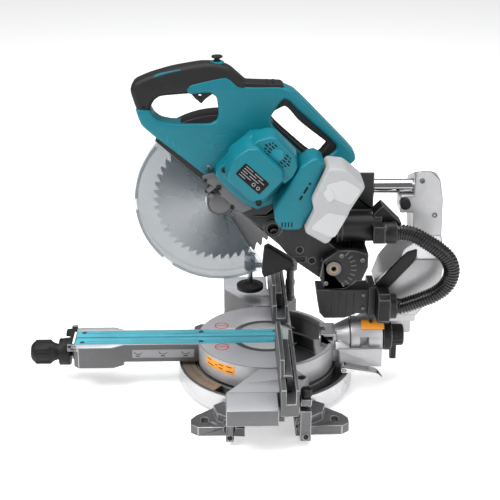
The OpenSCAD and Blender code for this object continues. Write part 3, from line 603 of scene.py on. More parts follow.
class SAW_OT_finishes(bpy.types.Operator):
    """Makes the saw's materials"""
    bl_idname = "saw.finishes"
    bl_label = "Finishes"

    def execute(self, context):
        build_grain()
        build_brush()
        build_wear()
        build_disc_sheen()
        c = colours()
        teal, casting, rubber, boards = (tuple(x) for x in (c.housing, c.casting, c.rubber, c.boards))
        sheen = {"Specular_IOR_Level": 0.3}
        scuffed = {"worn": (0.014, 0.014, 0.015), **sheen}
        grey_rub = {"worn": (0.06, 0.06, 0.06), "wear": 0.3, **sheen}
        # name, colour, share of it in the dark patches, metallic, roughness, grain, bump, and what else differs
        for name, colour, dark, metallic, rough, grain, bump, more in (
            ("housing teal", teal, 0.86, 0, (0.34, 0.46), 2600, 0.12, {"worn": tint(teal, 1.25, 0.004),
                                                                **sheen}),
            ("housing edge", tint(teal, 1.3, 0.004), 0.9, 0, (0.3, 0.4), 2600, 0.05, sheen),
            ("cast silver", tint(casting, 1.15), 0.8, 0.45, (0.34, 0.48), 1500, 0.2,
             {"worn": tint(casting, 1.55), "wear": 0.35}),
            ("cast paint", tint(casting, 0.34), 0.8, 0.5, (0.36, 0.5), 1500, 0.22,
             {"worn": tint(casting, 0.5), "wear": 0.35}),
            ("cast edge", tint(casting, 0.85), 0.9, 0.6, (0.28, 0.4), 1500, 0.1, {}),
            ("grey paint", tint(casting, 0.26), 0.8, 0.4, (0.36, 0.48), 1500, 0.2,
             {"worn": tint(casting, 0.4), "wear": 0.3}),
            ("dark paint", (0.022, 0.022, 0.023), 0.75, 0.3, (0.34, 0.48), 1300, 0.22, grey_rub),
            ("dark edge", (0.1, 0.1, 0.102), 0.85, 0.6, (0.3, 0.42), 1300, 0.1, {}),
            ("black plastic", tint(rubber, 0.7), 0.7, 0, (0.38, 0.52), 1800, 0.2, {"wear": 0.4, **scuffed}),
            ("black rubber", rubber, 0.7, 0, (0.46, 0.62), 1100, 0.35, {"wear": 0.5, **scuffed}),
            ("grey plastic", (0.36, 0.365, 0.37), 0.92, 0, (0.42, 0.55), 2000, 0.08,
             {"worn": (0.42, 0.42, 0.43), "wear": 0.2}),
            ("pale plastic", (0.46, 0.465, 0.47), 0.94, 0, (0.42, 0.55), 2000, 0.08, {}),
            ("kerf plastic", boards, 0.85, 0, (0.3, 0.45), 900, 0.1,
             {"patches": 20, "worn": tint(boards, 1.4), "wear": 0.4, "wear_scale": 30}),
            ("orange label", (0.95, 0.36, 0.025), 0.9, 0, (0.35, 0.5), 900, 0.05, {}),
            ("red mark", (0.62, 0.04, 0.04), 0.9, 0, (0.4, 0.5), 900, 0.05, {}),
            ("grey label", (0.24, 0.24, 0.25), 0.92, 0, (0.35, 0.5), 900, 0.05, {}),
            # Near-black finish for printed marks, and for strips, discs and bars of painted shade in slots,
            # holes and vents
            ("dark print and shade", (0.006, 0.006, 0.007), 0.8, 0, (0.45, 0.55), 900, 0.05,
             {"Specular_IOR_Level": 0.15}),
            ("pale mark", (0.75, 0.76, 0.78), 0.9, 0, (0.4, 0.5), 900, 0.03, {}),
            ("scale plate", (0.46, 0.36, 0.28), 0.7, 0.7, (0.3, 0.45), 1200, 0.1,
             {"worn": (0.25, 0.17, 0.11), "wear": 0.7, "wear_scale": 25}),
            ("hose plastic", (0.005, 0.005, 0.005), 0.7, 0, (0.22, 0.34), 1500, 0.1, {}),
            ("duct plastic", (0.028, 0.028, 0.03), 0.75, 0, (0.35, 0.5), 1500, 0.15, grey_rub),
            ("duct edge", (0.06, 0.06, 0.06), 0.8, 0, (0.3, 0.42), 1500, 0.1, {}),
            ("bronze", (0.3, 0.2, 0.11), 0.8, 1, (0.3, 0.42), 900, 0.1, {}),
            ("dark steel", (0.16, 0.16, 0.165), 0.7, 0.9, (0.3, 0.42), 1500, 0.12, {}),
            ("machined top", (0.62, 0.62, 0.65), 0.9, 0.45, (0.3, 0.42), 500, 0.03, {}),
            ("polished ring", (0.6, 0.6, 0.61), 0.85, 0.75, (0.22, 0.32), 700, 0.03, {}),
        ):
            plain_finish(name, colour, dark, metallic, rough, grain, bump, **more)
        brushed_finish("bright steel", (0.6, 0.6, 0.61), (1, 0.1, 1), 0.85, 0.12, 500, 0.03)
        brushed_finish("turned steel", (0.62, 0.62, 0.63), (1, 1, 0.15), 0.75, 0.25, 500)
        blade_finish()
        guard_finishes()
        return {"FINISHED"}


# ---- stage ----
class SAW_OT_stage(bpy.types.Operator):
    """Sets the floor, the soft lights and the camera"""
    bl_idname = "saw.stage"
    bl_label = "Stage"

    def execute(self, context):
        scene = context.scene
        camera = bpy.data.cameras.new("Camera")
        camera.lens = sizes().camera_lens
        camera.sensor_width = 36
        camera.clip_end = 60
        holder = bpy.data.objects.new("Camera", camera)
        scene.collection.objects.link(holder)
        pitch, yaw, roll = math.radians(22.312), math.radians(1.648), math.radians(0.129)
        ahead = Vector((-math.cos(pitch) * math.cos(yaw), math.cos(pitch) * math.sin(yaw), -math.sin(pitch)))
        holder.rotation_mode = "QUATERNION"
        holder.rotation_quaternion = ahead.to_track_quat("-Z", "Y") @ Matrix.Rotation(roll, 3,
                                                                "Z").to_quaternion()
        holder.location = (1.7461, -0.0775, 0.958)
        scene.camera = holder

        clear()
        bpy.ops.mesh.primitive_plane_add(size=60, location=(0, 0, -0.0004))
        floor = context.object
        floor.name = "floor"
        paper = bpy.data.materials.new("paper")
        paper.use_nodes = True
        shader = paper.node_tree.nodes["Principled BSDF"]
        shader.inputs["Base Color"].default_value = (0.93, 0.93, 0.93, 1)
        shader.inputs["Emission Color"].default_value = (1, 1, 1, 1)
        shader.inputs["Emission Strength"].default_value = 0.5
        shader.inputs["Roughness"].default_value = 0.9
        floor.data.materials.append(paper)

        def lamp(name, place, target, size, power, colour=(1, 1, 1)):
            data = bpy.data.lights.new(name, "AREA")
            data.size, data.energy, data.color = size, power, colour
            obj = bpy.data.objects.new(name, data)
            obj.location = place
            obj.rotation_mode = "QUATERNION"
            obj.rotation_quaternion = (Vector(target) - Vector(place)).to_track_quat("-Z", "Y")
            scene.collection.objects.link(obj)

        lamp("key", (1.1, -1.3, 2.3), (0, 0, 0.25), 1.3, 60)
        lamp("top", (-0.3, 0.3, 2.6), (0, 0, 0.2), 2.0, 55)
        lamp("fill", (1.9, 1.7, 1.1), (0, 0, 0.3), 1.4, 20)
        world = bpy.data.worlds.new("World")
        scene.world = world
        world.use_nodes = True
        world.node_tree.nodes["Background"].inputs["Color"].default_value = (0.98, 0.99, 1, 1)
        world.node_tree.nodes["Background"].inputs["Strength"].default_value = 0.22
        scene.view_settings.view_transform = "Standard"
        return {"FINISHED"}


# ---- dust hose ----
class SAW_OT_hose(bpy.types.Operator):
    """Makes the corrugated dust hose along its route"""
    bl_idname = "saw.hose"
    bl_label = "Dust hose"

    def execute(self, context):
        route = [Vector(p) * MM for p in HOSE_ROUTE]
        path, at = [route[0]], [0.0]
        for i in range(len(route) - 1):
            a, b, c, d = (route[max(i - 1, 0)], route[i], route[i + 1], route[min(i + 2, len(route) - 1)])
            for k in range(1, 25):
                t = k / 24
                square, cube = 2 * a - 5 * b + 4 * c - d, 3 * b - a - 3 * c + d
                p = 0.5 * ((2 * b) + (c - a) * t + square * t ** 2 + cube * t ** 3)
                at.append(at[-1] + (p - path[-1]).length)
                path.append(p)
        total = at[-1]
        shape = ((0, 0.0115), (0.28, 0.0118), (0.42, 0.0133), (0.72, 0.0133), (0.86, 0.0118))
        ribs = round(total / sizes().hose_pitch)
        stations = [((i + s) / ribs * total, r) for i in range(ribs) for s, r in shape] + [(total, 0.0115)]
        mesh = bmesh.new()
        rings, j, sides = [], 0, 28
        for distance, radius in stations:
            while j < len(at) - 2 and at[j + 1] < distance:
                j += 1
            share = (distance - at[j]) / max(at[j + 1] - at[j], 1e-9)
            middle = path[j].lerp(path[j + 1], min(share, 1))
            ahead = (path[min(j + 2, len(path) - 1)] - path[max(j - 1, 0)]).normalized()
            side = Vector((1, 0, 0)).cross(ahead).normalized()
            up = ahead.cross(side)
            rings.append([mesh.verts.new(middle + radius * (side * math.cos(k * math.tau / sides)
                                                            + up * math.sin(k * math.tau / sides)))
                          for k in range(sides)])
        for a, b in zip(rings, rings[1:]):
            for k in range(sides):
                mesh.faces.new((a[k], a[(k + 1) % sides], b[(k + 1) % sides], b[k]))
        mesh.faces.new(list(reversed(rings[0])))
        mesh.faces.new(rings[-1])
        bmesh.ops.recalc_face_normals(mesh, faces=mesh.faces)
        data = bpy.data.meshes.new("dust_hose_ribbed")
        mesh.to_mesh(data)
        mesh.free()
        hose = bpy.data.objects.new("dust_hose_ribbed", data)
        context.scene.collection.objects.link(hose)
        paint(hose, "hose plastic")
        smooth(hose, 50)
        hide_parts("dust_hose")
        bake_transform(hose)
        return {"FINISHED"}


# ---- castings and other pieces that keep their frame shape, with rounded edges ----
CAST = ("cast paint", "cast edge")
SILVER = ("cast silver", "cast edge")
GREY = ("grey paint", "cast edge")
DARK = ("dark paint", "dark edge")
DUCT = ("black plastic", "duct edge")
# node, slot, finishes, edge in mm
CASTINGS = (
    ("base_casting", "cast_aluminium", CAST, 1.2),
    ("turntable", "cast_aluminium", SILVER, 1.0),
    ("front_arm", "grey_paint", GREY, 1.2),
    ("fence_left", "grey_paint", GREY, 1.0),
    ("fence_right", "grey_paint", GREY, 1.0),
    ("upper_fence_left", "grey_paint", GREY, 1.0),
    ("upper_fence_right", "grey_paint", GREY, 1.0),
    ("wing_left", "cast_aluminium", CAST, 1.2),
    ("wing_right", "cast_aluminium", CAST, 1.2),
    ("bevel_bracket", "cast_aluminium", SILVER, 1.4),
    ("bevel_arm", "cast_aluminium", SILVER, 1.4),
    ("column", "cast_aluminium", SILVER, 2.0),
    ("carriage", "dark_paint", DARK, 2.0),
    ("head_arm", "dark_paint", DARK, 1.2),
    ("gear_housing", "dark_paint", DARK, 1.6),
    ("pole_stop", "dark_paint", DARK, 1.2),
    ("blade_case", "dark_paint", ("black plastic", "dark edge"), 1.0),
    ("lower_duct", "black_plastic", ("duct plastic", "duct edge"), 1.6),
    ("duct_elbow", "black_plastic", DUCT, 1.4),
    ("dust_pipe", "black_plastic", DUCT, 1.2),
    ("hose_connector", "black_plastic", DUCT, 1.2),
    ("release_lever", "steel", ("bright steel",), 1.0),
    ("detent_lever", "dark_paint", DARK, 0.6),
    ("bevel_pointer", "pointer_orange", ("orange label",), 0.5),
    ("vise_arm", "steel", CAST, 1.0),
    ("vise_pad", "black_rubber", ("black rubber",), 1.0),
    ("vise_screw", "steel", ("turned steel",), 0.6),
    ("vise_post", "dark_steel", ("dark steel", "dark edge"), 0.5),
    ("kerf_boards", "kerf_plastic", ("kerf plastic",), 0.5),
    ("knob_shaft", "black_plastic", ("black plastic", "dark edge"), 0.8),
    ("dust_flap", "black_rubber", ("black rubber",), 1.5),
)
# Nodes whose top is machined level with the table
MACHINED = ("base_casting", "turntable", "front_arm", "wing_left", "wing_right")
# Nodes whose flat faces have holes, which are kept in triangles
HOLED = ("turntable", "front_arm", "kerf_boards", "base_casting", "fence_left", "fence_right")
# node, finish
PLAIN = (
    ("mitre_scale", "scale plate"), ("pivot_bolt", "dark steel"), ("wing_rods_left", "bright steel"),
    ("wing_rods_right", "bright steel"), ("bevel_bolt", "dark steel"), ("slide_poles", "bright steel"),
    ("pole_bushings", "bronze"), ("head_pivot_pin", "dark steel"), ("return_spring", "dark steel"),
    ("motor_core", "dark steel"), ("switch_block", "black plastic"), ("spindle", "turned steel"),
    ("blade_flange", "turned steel"), ("blade", "blade steel"), ("trigger", "black plastic"),
    ("lock_off_button", "black plastic"), ("wing_knob_left", "black rubber"), ("wing_knob_right",
                                                                "black rubber"),
    ("slide_lock_knob", "black plastic"), ("bevel_lock_knob", "black plastic"), ("mitre_knob",
                                                                "black rubber"),
    ("housing_left", "housing teal"), ("housing_right", "housing teal"), ("grip_cover", "black rubber"),
    ("motor_cover", "housing teal"), ("battery_holder", "housing teal"), ("battery_pack", "grey plastic"),
    ("lower_guard", "guard plastic"), ("dust_hose", "black rubber"),
)


class SAW_OT_castings(bpy.types.Operator):
    """Rounds the edges of the castings and gives every frame node its finish"""
    bl_idname = "saw.castings"
    bl_label = "Castings"

    def execute(self, context):
        for node, finish in PLAIN:
            paint(NODES[node], finish)
        bodies = {n: b for b, group in frame["record"]["behaviour"]["bodies"].items() for n in group}
        for node, slot, finishes, edge in CASTINGS:
            paint(NODES[node], finishes[0])
            if node in MACHINED:
                finishes = (*finishes, "machined top", "polished ring")
            rounded(node, bodies[node], slot, finishes, edge * sizes().casting_edge)
        return {"FINISHED"}


# ---- table, labels and scale ----
def side_label():
    """A label bent round the turntable's side."""
    def band(inner, outer, start, end, low, high):
        return plate([sector(inner, outer, start, end, 16)], low, high, 0.05, 1, "Z")
    label = band(115.6, 116.25, -60, -28, 62, 78)
    make(label, "orange label", "table_side_label", "table")
    marks = [band(116, 116.4, a, a + w, z, z + 1.4) for a, w, z in (
        (-58, 5, 74), (-58, 8, 66), (-48, 2.5, 70), (-44, 4, 67), (-36, 5, 74), (-36, 6, 66), (-44, 5, 73))]
    make(marks, "dark print and shade", "table_side_label_marks", "table")


def arm_label():
    x = 28.05
    label = slab((x - 0.3, -226, 58), (x + 0.3, -122, 73), 0.2)
    make(label, "grey label", "arm_side_label", "table")
    marks = []
    for y in (-216, -174, -136):
        marks.append(plate([sector(7, 8, 200, 326, 9, (y, 72))], x + 0.2, x + 0.45, 0.04, 1))
        marks.append(slab((x + 0.2, y - 4, 60.5), (x + 0.45, y + 3, 62), 0))
    make(marks, "dark print and shade", "arm_side_label_marks", "table")


def scale_marks():
    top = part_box("mitre_scale")[1].z / MM
    marks = []
    for degrees in range(-50, 51, 2):
        length = 7 if degrees % 10 == 0 else 4
        bar = slab((133 - length, -0.28, top - 0.1), (133, 0.28, top + 0.12), 0)
        marks.append(turn_about(bar, degrees - 90, (0, 0, 0), "Z"))
    make(marks, "dark print and shade", "mitre_scale_marks", "base")


class SAW_OT_table_details(bpy.types.Operator):
    """Adds the table's groove, screws, labels and the mitre scale's marks"""
    bl_idname = "saw.table_details"
    bl_label = "Table details"

    def execute(self, context):
        top = TABLE_TOP
        groove = plate([circle(58.6, 80), circle(50, 80)], top - 0.5, top + 0.12, 0.05, 1, "Z")
        cut(groove, [slab((-27.2, -70, top - 2), (27.2, 70, top + 2), 0)])
        make(groove, "grey paint", "table_groove", "table", slot="dark_paint")
        marks = []
        for s in (-1, 1):
            x = s * 40
            ring = [circle(r, 48, (x, -75)) for r in (12, 10.2)]
            marks.append(plate(ring, top + 0.02, top + 0.2, 0.05, 1, "Z"))
            marks.append(slab((x - 0.9, -84, top + 0.02), (x + 0.9, -66, top + 0.2), 0))
        make(marks, "red mark", "table_ring_marks", "table")
        screws = [rod((x, y, top - 1), (x, y, top + 0.25), 4, 0.3, 24) for x in (-18, 18)
                  for y in (-310, -110, 16)]
        make(screws, "dark steel", "kerf_board_screws", "table")
        # A dark strip under the kerf slot: painted shade in the gap between the boards
        strip = slab((-1.9, -320, top - 4.6), (1.9, 28, top - 2.2), 0)
        make(strip, "dark print and shade", "kerf_gap_shade", "table")
        side_label()
        arm_label()
        scale_marks()
        return {"FINISHED"}


# ---- moulded head ----
CARRY_HOLE = [(-1, 468), (22, 503), (31, 501), (48, 483), (107, 430), (108, 421), (84, 402), (64, 406)]
BODY_OUTLINE = [
    (-206, 489), (-202, 474), (-197, 462), (-181, 447), (-138, 412), (-100, 380), (-87, 378), (-56, 400), (-8,
                                                                394),
    (34, 350), (62, 372), (118, 384), (139, 404), (137, 416), (42, 514), (20, 523.5), (-19, 523), (-46,
                                                                524), (-56, 534),
    (-65, 540), (-87, 536), (-121, 528), (-128, 519), (-122, 511), (-90, 514), (-80, 507), (-77, 482), (-80,
                                                                471),
    (-90, 465), (-150, 465), (-168, 469), (-178, 477), (-183, 487)]
GRIP_OUTLINE = [
    (-204, 484), (-214, 518), (-207, 531), (-184, 541), (-150, 551), (-105, 559), (-80, 558.5), (-60,
                                                                552), (-38, 532),
    (-30, 526), (-32, 512), (-70, 517), (-90, 514), (-128, 511), (-167, 508), (-176, 502), (-181, 494), (-183,
                                                                484)]


def motor_base():
    outline = [(-82, 400), (-83, 391), (-74, 378), (-58, 362), (-37, 344), (-18, 334), (8, 344), (40, 380),
               (52, 399), (-14, 458), (-30, 456)]
    base = plate([soften(outline, 0.1, 2)], 26, 62, 4, 3)
    smooth(base, 35)
    make(base, "housing teal", "motor_base", "saw_head")


def carry_liner():
    inner = [(1.5, 466), (4, 484), (25, 495), (33, 490), (50, 469), (95, 434), (100, 428), (83, 406),
             (66, 408)]
    liner = plate([soften(CARRY_HOLE, 0.14), soften(inner, 0.16)], HOUSING_X[0] - 1, HOUSING_X[1] - 5, 2.2, 2)
    make(liner, "black rubber", "carry_liner", "saw_head")


def housing_trims():
    near = HOUSING_X[1]
    vent = plate([soften([(-40, 530), (-33, 528.4), (19, 526.4), (24, 523), (20, 520), (-44, 521),
                          (-46, 526)], 0.1, 1)],
                 -8, near - 2, 1.2, 2)
    slats = [slab((-4, -30 + 9 * i, 526.6), (near - 7, -26 + 9 * i, 528.2), 0.3) for i in range(5)]
    make([vent, *slats], "black plastic", "top_vent_strip", "saw_head")
    # raised panel with a blank badge
    panel = plate([soften([(-98, 428), (-82, 446), (-52, 450), (-36, 436), (-72, 404)], 0.1, 1)],
                  near - 1.5, near + 0.7, 0.6, 2)
    make(panel, "housing teal", "side_panel", "saw_head")
    badge = [plate([soften([(-87, 437), (-67, 437), (-67, 422), (-87, 422)], 0.25, 2),
                    soften([(-85.6, 435.6), (-68.4, 435.6), (-68.4, 423.4), (-85.6, 423.4)], 0.25, 2)],
                   near + 0.4, near + 1.3, 0.3, 2)]
    make(badge[0], "housing edge", "side_badge_frame", "saw_head")
    make([screw_head((near - 1, -93, 393), 5.2, 2.6)], "dark steel", "housing_screw", "saw_head")
    ribs = [slab((near - 0.4, -158 + 9 * i, 436 - 7.3 * i), (near + 0.5, -156.4 + 9 * i, 446 - 7.3 * i), 0.2)
            for i in range(3)]
    make(ribs, "housing edge", "housing_ribs", "saw_head")


class SAW_OT_housing(bpy.types.Operator):
    """Models the moulded housing with its handle and carry opening"""
    bl_idname = "saw.housing"
    bl_label = "Housing"

    def execute(self, context):
        edge = sizes().plastic_edge / MM
        far, near = HOUSING_X
        body = plate([soften(BODY_OUTLINE, 0.14), soften(CARRY_HOLE, 0.16)], far - 0.6, near, edge, 4)
        case = rod((-60, *BLADE_CENTRE[1:]), (CASE_FACE, *BLADE_CENTRE[1:]), CASE_RADIUS, 0, 128)
        slot = slab((-4.3, -126, 500), (20.3, -78, 522), 0)
        cut(body, [case])
        cut(body, [slot])
        smooth(body, 35)
        make(body, "housing teal", "housing_body", "saw_head", "housing_left", "housing_right")
        motor_base()
        carry_liner()
        housing_trims()
        return {"FINISHED"}


class SAW_OT_grip(bpy.types.Operator):
    """Models the rubber grip, its inlay and the lock-off button"""
    bl_idname = "saw.grip"
    bl_label = "Grip"

    def execute(self, context):
        edge = sizes().grip_edge / MM
        far, near = HOUSING_X
        grip = plate([soften(GRIP_OUTLINE, 0.16)], far, near - 1, edge, 5)
        cut(grip, [slab((-4.3, -126, 490), (20.3, -78, 526), 0)])
        cut(grip, [rod((8, -79, 520), (8, -79, 580), 6.2, 0, 32)])
        smooth(grip, 35)
        make(grip, "black rubber", "handle_grip", "saw_head", "grip_cover")
        near -= 1
        inlay = plate([soften([(-184, 534), (-170, 544), (-134, 551), (-136, 545), (-160, 539), (-162, 535),
                               (-176, 534)],
                              0.1, 1)], near - 6, near - 1.2, 0.8, 2)
        make(inlay, "housing teal", "grip_inlay", "saw_head")
        collar = lathe([(6.4, 0), (6.4, 3), (8.2, 3.6), (10.5, 2.4), (11.5, 0), (6.4, 0)], (8, -79, 556.4),
                       (0, 0, 1), 40)
        make(collar, "housing teal", "button_collar", "saw_head")
        button = lathe([(0, -22), (4.4, -22), (4.4, 7.2), (5, 8), (8.4, 9.2), (8.8, 10.6), (8.2, 12),
                        (4, 12.6), (0, 12.7)],
                       (8, -79, 556), (0, 0, 1), 40)
        make(button, "black plastic", "lock_button", "lock_off", "lock_off_button")
        return {"FINISHED"}


def on_motor(points, cut_by=0.1, times=1):
    return turned(soften(points, cut_by, times), MOTOR_CENTRE[1:], MOTOR_TILT)


def raised_block(points, low, high, edge, share, cut_by=0.1):
    """A block whose top is drawn in towards its middle."""
    obj = plate([on_motor(points, cut_by)], low, high, edge, 4)
    middle = sum((v.co for v in obj.data.vertices), Vector()) / len(obj.data.vertices)
    for v in obj.data.vertices:
        rise = min(max((v.co.x / MM - 76) / (high - 76), 0), 1)
        scale = 1 + (share - 1) * rise
        v.co.y = middle.y + (v.co.y - middle.y) * scale
        v.co.z = middle.z + (v.co.z - middle.z) * scale
    return obj


def motor_vents():
    middle = (-2, 44)
    boss = lathe([(0, 1.4), (8, 1.2), (9.2, 0.4), (9.2, -3), (0, -3)],
                 (107, *turned([middle], MOTOR_CENTRE[1:], MOTOR_TILT)[0]), (1, 0, 0), 40)
    make(boss, "housing edge", "motor_boss", "saw_head")
    # The vent slots are dark bars laid on the cover: painted shade of the openings
    slots = []
    for side in (-1, 1):
        for i in range(5):
            up = 4.6 * (i - 2)
            inner = 11.5 - abs(i - 2) * 1.2
            for near, far in ((inner, inner + 5.5), (inner + 7.5, inner + 14 - 2 * abs(i - 2))):
                u0, u1 = sorted((middle[0] + side * near, middle[0] + side * far))
                box = [(u0, middle[1] + up - 1.2), (u1, middle[1] + up - 1.2), (u1, middle[1] + up + 1.2),
                       (u0, middle[1] + up + 1.2)]
                slots.append(plate([turned(box, MOTOR_CENTRE[1:], MOTOR_TILT)], 105, 107.25, 0.2, 1))
    make(slots, "dark print and shade", "motor_vents", "saw_head", slot="black_plastic")


def motor_label():
    label = plate([on_motor([(-32, -17), (-32, 6), (17, 6), (17, -17)], 0.05)], 120, 121.5, 0.3, 2)
    make(label, "dark print and shade", "motor_plate", "saw_head")
    marks = []
    for u0, u1, v in ((-28, -14, 3), (-10, 6, 3), (-28, -4, -1), (0, 12, -1), (-28, -18, -5), (-14, 4, -5),
                      (-28, -8, -9), (-28, -16, -13)):
        row = [(u0, v - 0.6), (u1, v - 0.6), (u1, v + 0.6), (u0, v + 0.6)]
        marks.append(plate([turned(row, MOTOR_CENTRE[1:], MOTOR_TILT)], 121.4, 121.7, 0.05, 1))
    for u in (0, 9):
        centre = turned([(u, -11)], MOTOR_CENTRE[1:], MOTOR_TILT)[0]
        marks.append(lathe([(1.8, 0), (1.8, 0.3), (3, 0.3), (3, 0), (1.8, 0)], (121.4, *centre), (1, 0, 0),
                           24))
    make(marks, "grey label", "motor_plate_marks", "saw_head")
    heads = []
    for u, v in ((-38, -34), (38, -38), (38, 34)):
        centre = turned([(u, v)], MOTOR_CENTRE[1:], MOTOR_TILT)[0]
        heads.append(screw_head((76.8, *centre), 4.8, 2.6))
    make(heads, "black plastic", "motor_screws", "saw_head", slot="dark_steel")


class SAW_OT_motor(bpy.types.Operator):
    """Models the motor cover with its vents, plate and screws"""
    bl_idname = "saw.motor"
    bl_label = "Motor cover"

    def execute(self, context):
        foot = plate([on_motor([(-46, -30), (-28, -46), (30, -46), (46, -32), (46, 30), (32, 46), (-32, 46),
                                    (-46, 32)])], 43.6, 77, 4, 4)
        deck = raised_block([(-42, 14), (-44, 40), (-32, 58), (-22, 64), (22, 62), (38, 52), (44, 34),
                             (42, 14)],
                           60, 107, 3.5, 0.9)
        bonnet = raised_block([(-38, -38), (-55, -4), (-50, 24), (-36, 38), (22, 38), (34, 26), (33, -22),
                               (20, -38)],
                             60, 121, 4, 0.88)
        for obj, name in ((foot, "motor_cover_foot"), (deck, "motor_cover_deck"),
                          (bonnet, "motor_cover_bonnet")):
            smooth(obj, 35)
            make(obj, "housing teal", name, "saw_head")
        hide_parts("motor_cover")
        motor_vents()
        motor_label()
        return {"FINISHED"}


class SAW_OT_battery(bpy.types.Operator):
    """Models the battery mount and the battery"""
    bl_idname = "saw.battery"
    bl_label = "Battery"

    def execute(self, context):
        holder = plate([soften([(6, 352), (44, 417), (60, 430), (70, 432), (84, 423), (66, 372), (69, 352),
                                (48, 316),
                                (20, 316), (8, 330)], 0.12, 2)], 43.6, 106, 6, 4)
        smooth(holder, 35)
        make(holder, "housing teal", "battery_mount", "saw_head", "battery_holder")
        # The mount's slots are dark bars laid on its face: painted shade of the openings
        slots = []
        for a, b in ((-26, -18), (-14, -2), (2, 6)):
            slots.append(slab((105.2, 60 + a, 388), (106.3, 60 + b, 391.5), 0.3, 60, (0, 60, 388)))
        for i in range(4):
            slots.append(slab((105.2, 18 + 5 * i, 322), (106.3, 20 + 5 * i, 330), 0.3))
        make(slots, "dark print and shade", "battery_mount_slots", "saw_head", slot="black_plastic")
        outline = [(87, 422), (114, 419), (145, 393), (122, 354), (118, 343), (88, 297), (52, 319), (67, 353),
                   (63, 370)]
        pack = plate([soften(outline, 0.1, 2)], 54, 122.5, 5, 4)
        smooth(pack, 35)
        make(pack, "grey plastic", "battery_body", "battery", "battery_pack")
        step = plate([soften([(88, 352), (118, 346), (98, 308), (60, 326)], 0.12, 2)], 118, 123.3, 1.5, 3)
        ridge = plate([soften([(84, 396), (112, 404), (138, 388), (122, 362), (84, 378)], 0.12, 2)], 118,
                      123.3, 1.5,
                      3)
        latch = plate([soften([(78, 384), (92, 392), (100, 376), (88, 366)], 0.2, 2)], 119, 124.2, 2, 3)
        make([step, ridge, latch], "pale plastic", "battery_panels", "battery")
        return {"FINISHED"}


# ---- blade, guard and gear nose ----
def clear_guard():
    low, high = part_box("lower_guard")
    rounded("lower_guard", "swing_guard", "guard_plastic", ("guard plastic", "guard rim"), 0.8,
            name="clear_guard", angle=40)
    # moulded ribs on the rim
    reach = max(abs(low.z / MM - BLADE_CENTRE[2]), 130) - 0.2
    face = high.x / MM
    arcs = [plate([sector(reach - 5, reach, start, end, 18, BLADE_CENTRE[1:])], face - 0.6, face - 0.05, 0.2,
                  1)
            for start, end in ((138, 178), (186, 226), (234, 296))]
    make(arcs, "guard rim", "guard_ribs", "swing_guard")


def gear_nose():
    y, z = BLADE_CENTRE[1:]
    face = GEAR_FACE
    cap = lathe([(0, 1.4), (12, 1.4), (15, 0.6), (20, -0.4), (21.6, -2), (21.6, -16)], (face, y, z),
                (1, 0, 0), 56)
    make(cap, "grey paint", "gear_nose_cap", "saw_head")
    strip = plate([soften([(-104, 385), (-102, 376), (-90, 371), (-80, 362), (-62, 340), (-42, 322),
                           (-24, 330),
                           (-40, 352), (-66, 378), (-86, 390)], 0.1, 1)], 38, 44.2, 1.2, 2)
    make(strip, "grey paint", "gear_flange_strip", "saw_head")
    lock = [slab((36, -98, 360), (43, -82, 368), 1, 40, (40, -90, 364)),
            rod((30, -90, 352), (44, -90, 352), 4.6, 0.8, 24),
            slab((28, -76, 346), (41, -60, 354), 1.2, -35, (40, -68, 350)),
            rod((26, -60, 352), (42, -60, 352), 5, 0.8, 24)]
    make(lock, "grey paint", "spindle_lock", "saw_head", slot="steel")
    heads = [screw_head((44, -78, 366), 4.4, 2.8), screw_head((44.2, -99, 378), 3, 2),
             screw_head((30, -97, 356), 3.4, 2.2), screw_head((43, -57, 333), 3.6, 2.4)]
    make(heads, "black plastic", "gear_screws", "saw_head", slot="dark_steel")


class SAW_OT_cutting_unit(bpy.types.Operator):
    """Models the clear guard, the gear nose and the screws round the blade case"""
    bl_idname = "saw.cutting_unit"
    bl_label = "Cutting unit"

    def execute(self, context):
        clear_guard()
        gear_nose()
        return {"FINISHED"}


# ---- head arm, hinge and springs ----
class SAW_OT_hinge(bpy.types.Operator):
    """Adds the head arm's bosses, dark discs of painted shade at its holes, and bolts and the hinge's spring
    sector
    """
    bl_idname = "saw.hinge"
    bl_label = "Head arm and hinge"

    def execute(self, context):
        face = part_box("head_arm")[1].x / MM - 6
        # Dark discs set flush where the arm's holes are: painted shade in the recesses
        holes = [rod((face - 0.4, *at), (face + 0.12, *at), r, 0.05, 32)
                 for at, r in (((10, 288), 4.6), ((52, 257), 5.2), ((72, 238), 5.2), ((92, 238), 4),
                               ((30, 300), 3))]
        make(holes, "dark print and shade", "arm_hole_shade", "saw_head")
        rims = [lathe([(r, -0.4), (r, 0.9), (r + 1.4, 0.7), (r + 1.8, -0.4), (r, -0.4)], (face, *at),
                      (1, 0, 0), 32)
                for at, r in (((10, 288), 4.6), ((52, 257), 5.2), ((72, 238), 5.2), ((92, 238), 4))]
        make(rims, "dark edge", "arm_bosses", "saw_head")
        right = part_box("carriage")[1].x / MM
        y, z = HEAD_PIVOT[1:]
        ring = lathe([(4.4, 3), (5, 3.4), (7.5, 3.2), (8.4, 2), (8.4, 0), (4.4, 0), (4.4, 3)], (58, y, z),
                     (1, 0, 0), 48)
        # ribbed stop sector round the pivot
        teeth = [slab((right - 0.5, y + 28, z - 1.3), (right + 0.9, y + 37, z + 1.3), 0.4, 14 * i - 62,
                      (0, y, z))
                 for i in range(9)]
        make(teeth, "dark edge", "stop_sector_ribs", "slide_carriage")
        make(ring, "bronze", "pivot_ring", "slide_carriage")
        bolts = [screw_head((right - 0.3, *at), 4, 2.6) for at in ((152, 246), (118, 254), (94, 206))]
        make(bolts, "dark steel", "sector_bolts", "slide_carriage")
        return {"FINISHED"}


